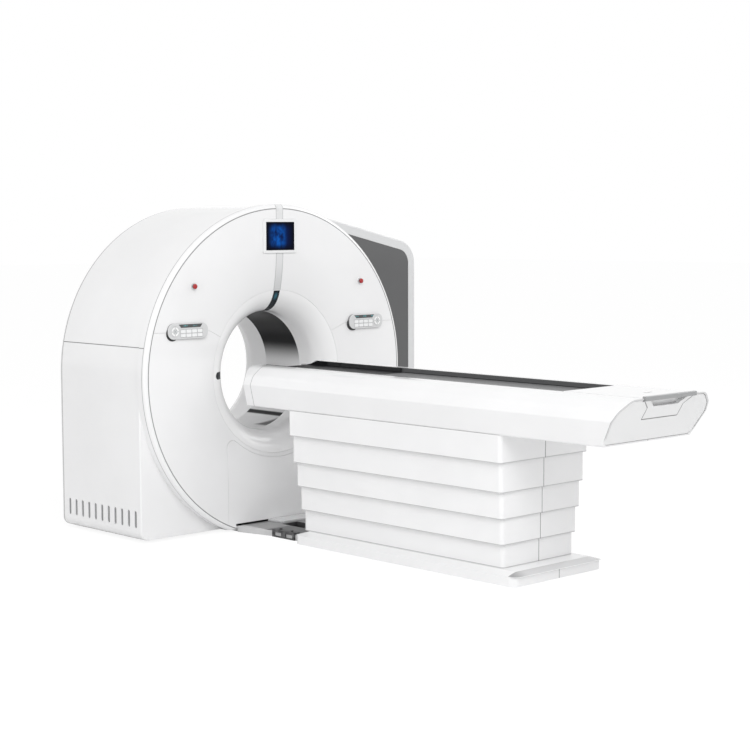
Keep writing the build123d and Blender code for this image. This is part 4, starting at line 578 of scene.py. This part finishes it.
def aluminium():
    """Machined aluminium with turning marks about the scan axis."""
    finish = Finish("aluminium", (0.72, 0.73, 0.74), roughness=0.35, metal=1.0)
    marks = finish.noise(300.0, detail=2.0, stretch=(0.2, 1.0, 0.2))
    finish.paint(marks, (0.60, 0.61, 0.62), (0.78, 0.79, 0.80))
    finish.roughen(0.26, 0.18, marks)
    finish.bump(marks, strength=0.1, distance=0.0002)
    return finish


def black_parts():
    return moulded("black_parts", (0.03, 0.03, 0.032), roughness=0.5, coat=0.1, peel=0.25, tint=0.85)


def pit_black():
    return moulded("pit_black", (0.045, 0.045, 0.046), roughness=0.6, coat=0.0, peel=0.3, tint=0.8)


def belt_rubber():
    """Matt black rubber."""
    finish = Finish("belt_rubber", (0.022, 0.022, 0.023), roughness=0.7)
    finish.paint(finish.noise(30.0, detail=3.0), (0.016, 0.016, 0.017), (0.03, 0.03, 0.031))
    finish.roughen(0.62, 0.16, finish.noise(90.0))
    finish.bump(finish.noise(600.0), strength=0.3, distance=0.0003)
    return finish


def motor_grey():
    return moulded("motor_grey", (0.16, 0.175, 0.19), roughness=0.42, coat=0.3, peel=0.3, tint=0.85)


def carbon():
    """Lacquered carbon laminate: a fine diagonal weave under a deep coat."""
    finish = Finish("carbon", (0.05, 0.05, 0.053), roughness=0.3, coat=1.0, coat_roughness=0.04)
    x, y, z = finish.axes("XYZ")
    warp = ((x + y + z) * CARBON_THREADS).sine()
    weft = ((x - y + z) * CARBON_THREADS).sine()
    weave = (warp * weft).ramp(-0.4, 0.4)
    finish.paint(weave, (0.030, 0.030, 0.032), (0.075, 0.076, 0.080))
    finish.roughen(0.22, 0.16, weave)
    return finish


def lining():
    """The trough's surface: black at the gantry end, then dark, then lighter, with dark joints. The
    floor is painted lighter than the walls as a painted reflection, and a line of painted shade runs
    along the crease at the foot of the walls.
    """
    finish = Finish("lining", (0.075, 0.075, 0.078), roughness=0.4, coat=0.0, specular=0.05)
    y, z = finish.axes("YZ")
    grain = finish.noise(140.0, detail=4.0, stretch=(1.0, 0.08, 1.0))
    black = finish.mix(grain, (0.006, 0.006, 0.007), (0.010, 0.010, 0.011))
    dark = finish.mix(grain, (0.022, 0.0225, 0.024), (0.038, 0.0385, 0.040))
    floor = finish.mix(grain, (0.165, 0.166, 0.169), (0.225, 0.226, 0.229))
    # Painted reflection: the floor is lighter than the walls
    pale = finish.mix(z.past(LINING_WALL_Z, soft=0.003), floor, (0.10, 0.101, 0.103))
    nearer = finish.mix(y.past(LINING_DARK_END - LINING_DARK_FADE, soft=0.04), pale, dark)
    plain = finish.mix(y.past(LINING_BLACK_END - LINING_BLACK_FADE, soft=LINING_BLACK_FADE), nearer, black)
    cross = y.line(LINING_JOINT, half=0.006) + y.line(LINING_DARK_END, half=0.008)
    # Painted shade along the crease at the foot of the walls
    edge = z.line(LINING_CREASE_SHADE_Z, half=0.0025) * 0.9
    finish.paint(cross + edge, plain, (0.015, 0.015, 0.016))
    finish.roughen(0.34, 0.14, grain)
    finish.bump(grain, strength=0.05, distance=0.0002)
    return finish


def keypad_display():
    """The dark strip above the keys, with a few dim teal characters."""
    finish = Finish("keypad_display", (0.085, 0.088, 0.09), roughness=0.3, coat=0.3, specular=0.3)
    x, z = finish.axes("XZ")
    row = (z - DISPLAY_TEXT_Z).size().before(DISPLAY_TEXT_HALF, soft=0.002)
    letters = finish.noise(150.0, detail=1.0, stretch=(1.0, 0.0, 0.3)).ramp(0.46, 0.54)
    words = (x * DISPLAY_WORDS).sine().ramp(0.1, 0.5)
    cloud = finish.mix(finish.noise(25.0), (0.075, 0.078, 0.08), (0.10, 0.103, 0.105))
    finish.paint(row * letters * words, cloud, (0.10, 0.34, 0.36))
    return finish


def vent_filter():
    """A pleated grey mat behind the vents."""
    finish = Finish("vent_filter", (0.30, 0.305, 0.31), roughness=0.8, specular=0.2)
    [y] = finish.axes("Y")
    pleats = (y * FILTER_PLEATS).wave()
    finish.paint(pleats, (0.24, 0.243, 0.247), (0.36, 0.363, 0.367))
    finish.bump(pleats, strength=0.5, distance=0.001)
    return finish


FINISHES = [
    cover_white, base_white, end_white, bell_brightened_white, frame_silver, panel_grey, strip_grey, keypad_grey,
    bezel_grey, button_grey, stop_red, handle_grey, key_white, window_black, laser_glass, screen, dock_grey,
    bracket_dark, steel_frame, steel_bright, aluminium, black_parts, belt_rubber, motor_grey, carbon, lining,
]

# Nodes with a finish that isn't their slot's
OTHER_LOOKS = {
    "table_plinth": "cover_white", "base_cover": "base_white", "docking_plate": "dock_grey",
    "docking_brackets": "bracket_dark", "table_end_cap": "end_white", "grip_plate": "end_white",
    "front_funnel": "bell_brightened_white",
}


def dress_nodes():
    """Gives each node of the model its finish, and returns the materials by name."""
    finishes = {make.__name__: make().material for make in FINISHES}
    for part in frame["record"]["subparts"]:
        node = frame["nodes"][part["node"]]
        look = OTHER_LOOKS.get(part["node"], part["material_slot"])
        node.data.materials.clear()
        node.data.materials.append(finishes[look])
    return finishes


# Added pieces


def settle(name):
    """Names the new piece, and puts its place, turn and scale in its mesh."""
    piece = bpy.context.object
    piece.name = name
    bpy.ops.object.transform_apply(location=True, rotation=True, scale=True)
    return piece


def block_piece(name, low, high):
    """A block between two corners, ready for shaping."""
    bpy.ops.object.select_all(action="DESELECT")
    bpy.ops.mesh.primitive_cube_add(size=1, location=[(a + b) / 2 for a, b in zip(low, high)])
    bpy.context.object.scale = [b - a for a, b in zip(low, high)]
    return settle(name)


def paired_blocks(name, low, high):
    """The block between two corners on the right, and its mirror image, which comes first."""
    for side, sign in (("left", -1), ("right", 1)):
        low_x, high_x = sorted((sign * low[0], sign * high[0]))
        yield block_piece(name + "_" + side, (low_x, *low[1:]), (high_x, *high[1:]))


def round_edges(piece, width, segments=2):
    edge = piece.modifiers.new("edge", "BEVEL")
    edge.width = width
    edge.segments = segments
    bpy.ops.object.modifier_apply(modifier="edge")


def select_points(piece, wanted):
    """Selects the points whose place is wanted, and leaves the piece in edit mode."""
    bpy.ops.object.mode_set(mode="EDIT")
    bpy.ops.mesh.select_all(action="DESELECT")
    bpy.ops.object.mode_set(mode="OBJECT")
    for vertex in piece.data.vertices:
        vertex.select = wanted(vertex.co)
    bpy.ops.object.mode_set(mode="EDIT")
    bpy.ops.mesh.select_mode(type="VERT")


def narrow_below(piece, height, share):
    """Narrows what lies below a height, about the piece's middle."""
    middle = sum((v.co for v in piece.data.vertices), Vector()) / len(piece.data.vertices)
    select_points(piece, lambda place: place.z < height)
    bpy.ops.transform.resize(value=(share, 1, 1), center_override=middle)
    bpy.ops.object.mode_set(mode="OBJECT")


def draw_in_corner(piece, near_y, shift):
    """Shifts the corner that lies left of the middle and nearer the table than near_y."""
    select_points(piece, lambda place: place.y < near_y and place.x < 0)
    bpy.ops.transform.translate(value=shift)
    bpy.ops.object.mode_set(mode="OBJECT")


def finish_piece(piece, body, material):
    piece.data.materials.append(material)
    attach(piece, body)


def keypad_displays():
    """The narrow dark display above the keys, on each side."""
    material = keypad_display().material
    for piece in paired_blocks("keypad_display", DISPLAY_LOW, DISPLAY_HIGH):
        narrow_below(piece, (DISPLAY_LOW[2] + DISPLAY_HIGH[2]) / 2, DISPLAY_TAPER)
        round_edges(piece, DISPLAY_EDGE)
        finish_piece(piece, "gantry", material)


def keypad_shadow_discs(material):
    """A dark disc behind the left end of each keypad, where the face falls away: painted shade, a dark piece
    put where there is only shadow.
    """
    for side, place_x in SHADOW_DISC_X.items():
        bpy.ops.object.select_all(action="DESELECT")
        bpy.ops.mesh.primitive_cylinder_add(
            vertices=SHADOW_DISC_SIDES, radius=SHADOW_DISC_R, depth=SHADOW_DISC_T,
            location=(place_x, SHADOW_DISC_Y, SHADOW_DISC_Z), rotation=(math.pi / 2, 0, 0),
        )
        piece = settle("keypad_shadow_disc_" + side)
        round_edges(piece, THIN_EDGE)
        finish_piece(piece, "gantry", material)


def front_skirts(material):
    """The low edge of the body's front, beside the round front."""
    for piece in paired_blocks("front_skirt", SKIRT_LOW, SKIRT_HIGH):
        round_edges(piece, THIN_EDGE)
        finish_piece(piece, "gantry", material)


def pit_floor():
    """The dark tray in the cable pit."""
    piece = block_piece("pit_floor", PIT_LOW, PIT_HIGH)
    round_edges(piece, PIT_EDGE)
    finish_piece(piece, "gantry", pit_black().material)


def raised_plate(material):
    """The pale plate in the middle of the docking plate, next to the gantry."""
    piece = block_piece("raised_plate", RAISED_LOW, RAISED_HIGH)
    draw_in_corner(piece, RAISED_LOW[1] + STEP, RAISED_CORNER)
    round_edges(piece, RAISED_EDGE, segments=3)
    finish_piece(piece, "gantry", material)


def side_filter():
    """The filter behind the vents in the left cover."""
    piece = block_piece("side_filter", FILTER_LOW, FILTER_HIGH)
    round_edges(piece, FILTER_EDGE)
    finish_piece(piece, "gantry", vent_filter().material)


# Stage


def floor_material():
    """Pale and matt, mixed with white for the camera, so that only a faint shadow is left."""
    material = bpy.data.materials.new("studio_floor")
    material.use_nodes = True
    nodes = Nodes(material.node_tree)
    nodes.tree.nodes.remove(nodes.tree.nodes["Principled BSDF"])
    matt = nodes.node("ShaderNodeBsdfDiffuse", {}, {"Color": (FLOOR_TONE, FLOOR_TONE, FLOOR_TONE, 1)})
    white = nodes.node("ShaderNodeEmission", {}, {"Color": (1, 1, 1, 1), "Strength": FLOOR_WHITE})
    seen = nodes.ray("Is Camera Ray") * FLOOR_GLOW
    mixed = nodes.node("ShaderNodeMixShader", {}, {0: seen, 1: matt, 2: white})
    nodes.link(mixed, nodes.tree.nodes["Material Output"].inputs["Surface"])
    return material


def lay_floor():
    bpy.ops.object.select_all(action="DESELECT")
    bpy.ops.mesh.primitive_plane_add(size=FLOOR_SIZE, location=(0, 0, 0))
    floor = bpy.context.object
    floor.name = "studio_floor"
    floor.data.materials.append(floor_material())


def light_world():
    """An even world: white to the camera, in reflections and through glass, and softer as light."""
    world = bpy.data.worlds.new("studio")
    bpy.context.scene.world = world
    world.use_nodes = True
    nodes = Nodes(world.node_tree)
    back = nodes.tree.nodes["Background"]
    back.inputs["Color"].default_value = (1, 1, 1, 1)
    shown = nodes.ray("Is Camera Ray").either(nodes.ray("Is Glossy Ray"))
    seen = shown.either(nodes.ray("Is Transmission Ray"))
    level = nodes.node("ShaderNodeMapRange", {}, {"Value": seen, "To Min": WORLD_LEVEL, "To Max": 1.0})
    nodes.link(level, back.inputs["Strength"])


def area_lamp(name, place, target, size, power):
    lamp = bpy.data.lights.new(name, "AREA")
    lamp.shape = "SQUARE"
    lamp.size = size
    lamp.energy = power
    thing = bpy.data.objects.new(name, lamp)
    thing.location = place
    thing.rotation_euler = (Vector(target) - Vector(place)).to_track_quat("-Z", "Y").to_euler()
    bpy.context.scene.collection.objects.link(thing)


def place_camera():
    yaw = math.radians(CAMERA_YAW)
    pitch = math.radians(CAMERA_PITCH)
    roll = math.radians(CAMERA_ROLL)
    forward = Vector((math.sin(yaw) * math.cos(pitch), math.cos(yaw) * math.cos(pitch), -math.sin(pitch)))
    level = Vector((math.cos(yaw), -math.sin(yaw), 0))
    upright = level.cross(forward)
    right = math.cos(roll) * level + math.sin(roll) * upright
    up = -math.sin(roll) * level + math.cos(roll) * upright
    camera = bpy.data.objects.new("photo_camera", bpy.data.cameras.new("photo_camera"))
    camera.data.lens = CAMERA_LENS
    camera.data.sensor_width = SENSOR
    turn = Matrix((right, up, -forward)).transposed().to_4x4()
    camera.matrix_world = Matrix.Translation(CAMERA_PLACE) @ turn
    camera.data.clip_end = 2 * FLOOR_SIZE
    bpy.context.scene.collection.objects.link(camera)
    bpy.context.scene.camera = camera


bpy.context.scene.view_settings.view_transform = "Standard"
place_camera()
light_world()
for lamp in LAMPS:
    area_lamp(*lamp)
lay_floor()
finishes = dress_nodes()
keypad_displays()
# Dark discs as painted shade behind the keypads
keypad_shadow_discs(finishes["black_parts"])
front_skirts(finishes["cover_white"])
pit_floor()
raised_plate(finishes["frame_silver"])
side_filter()
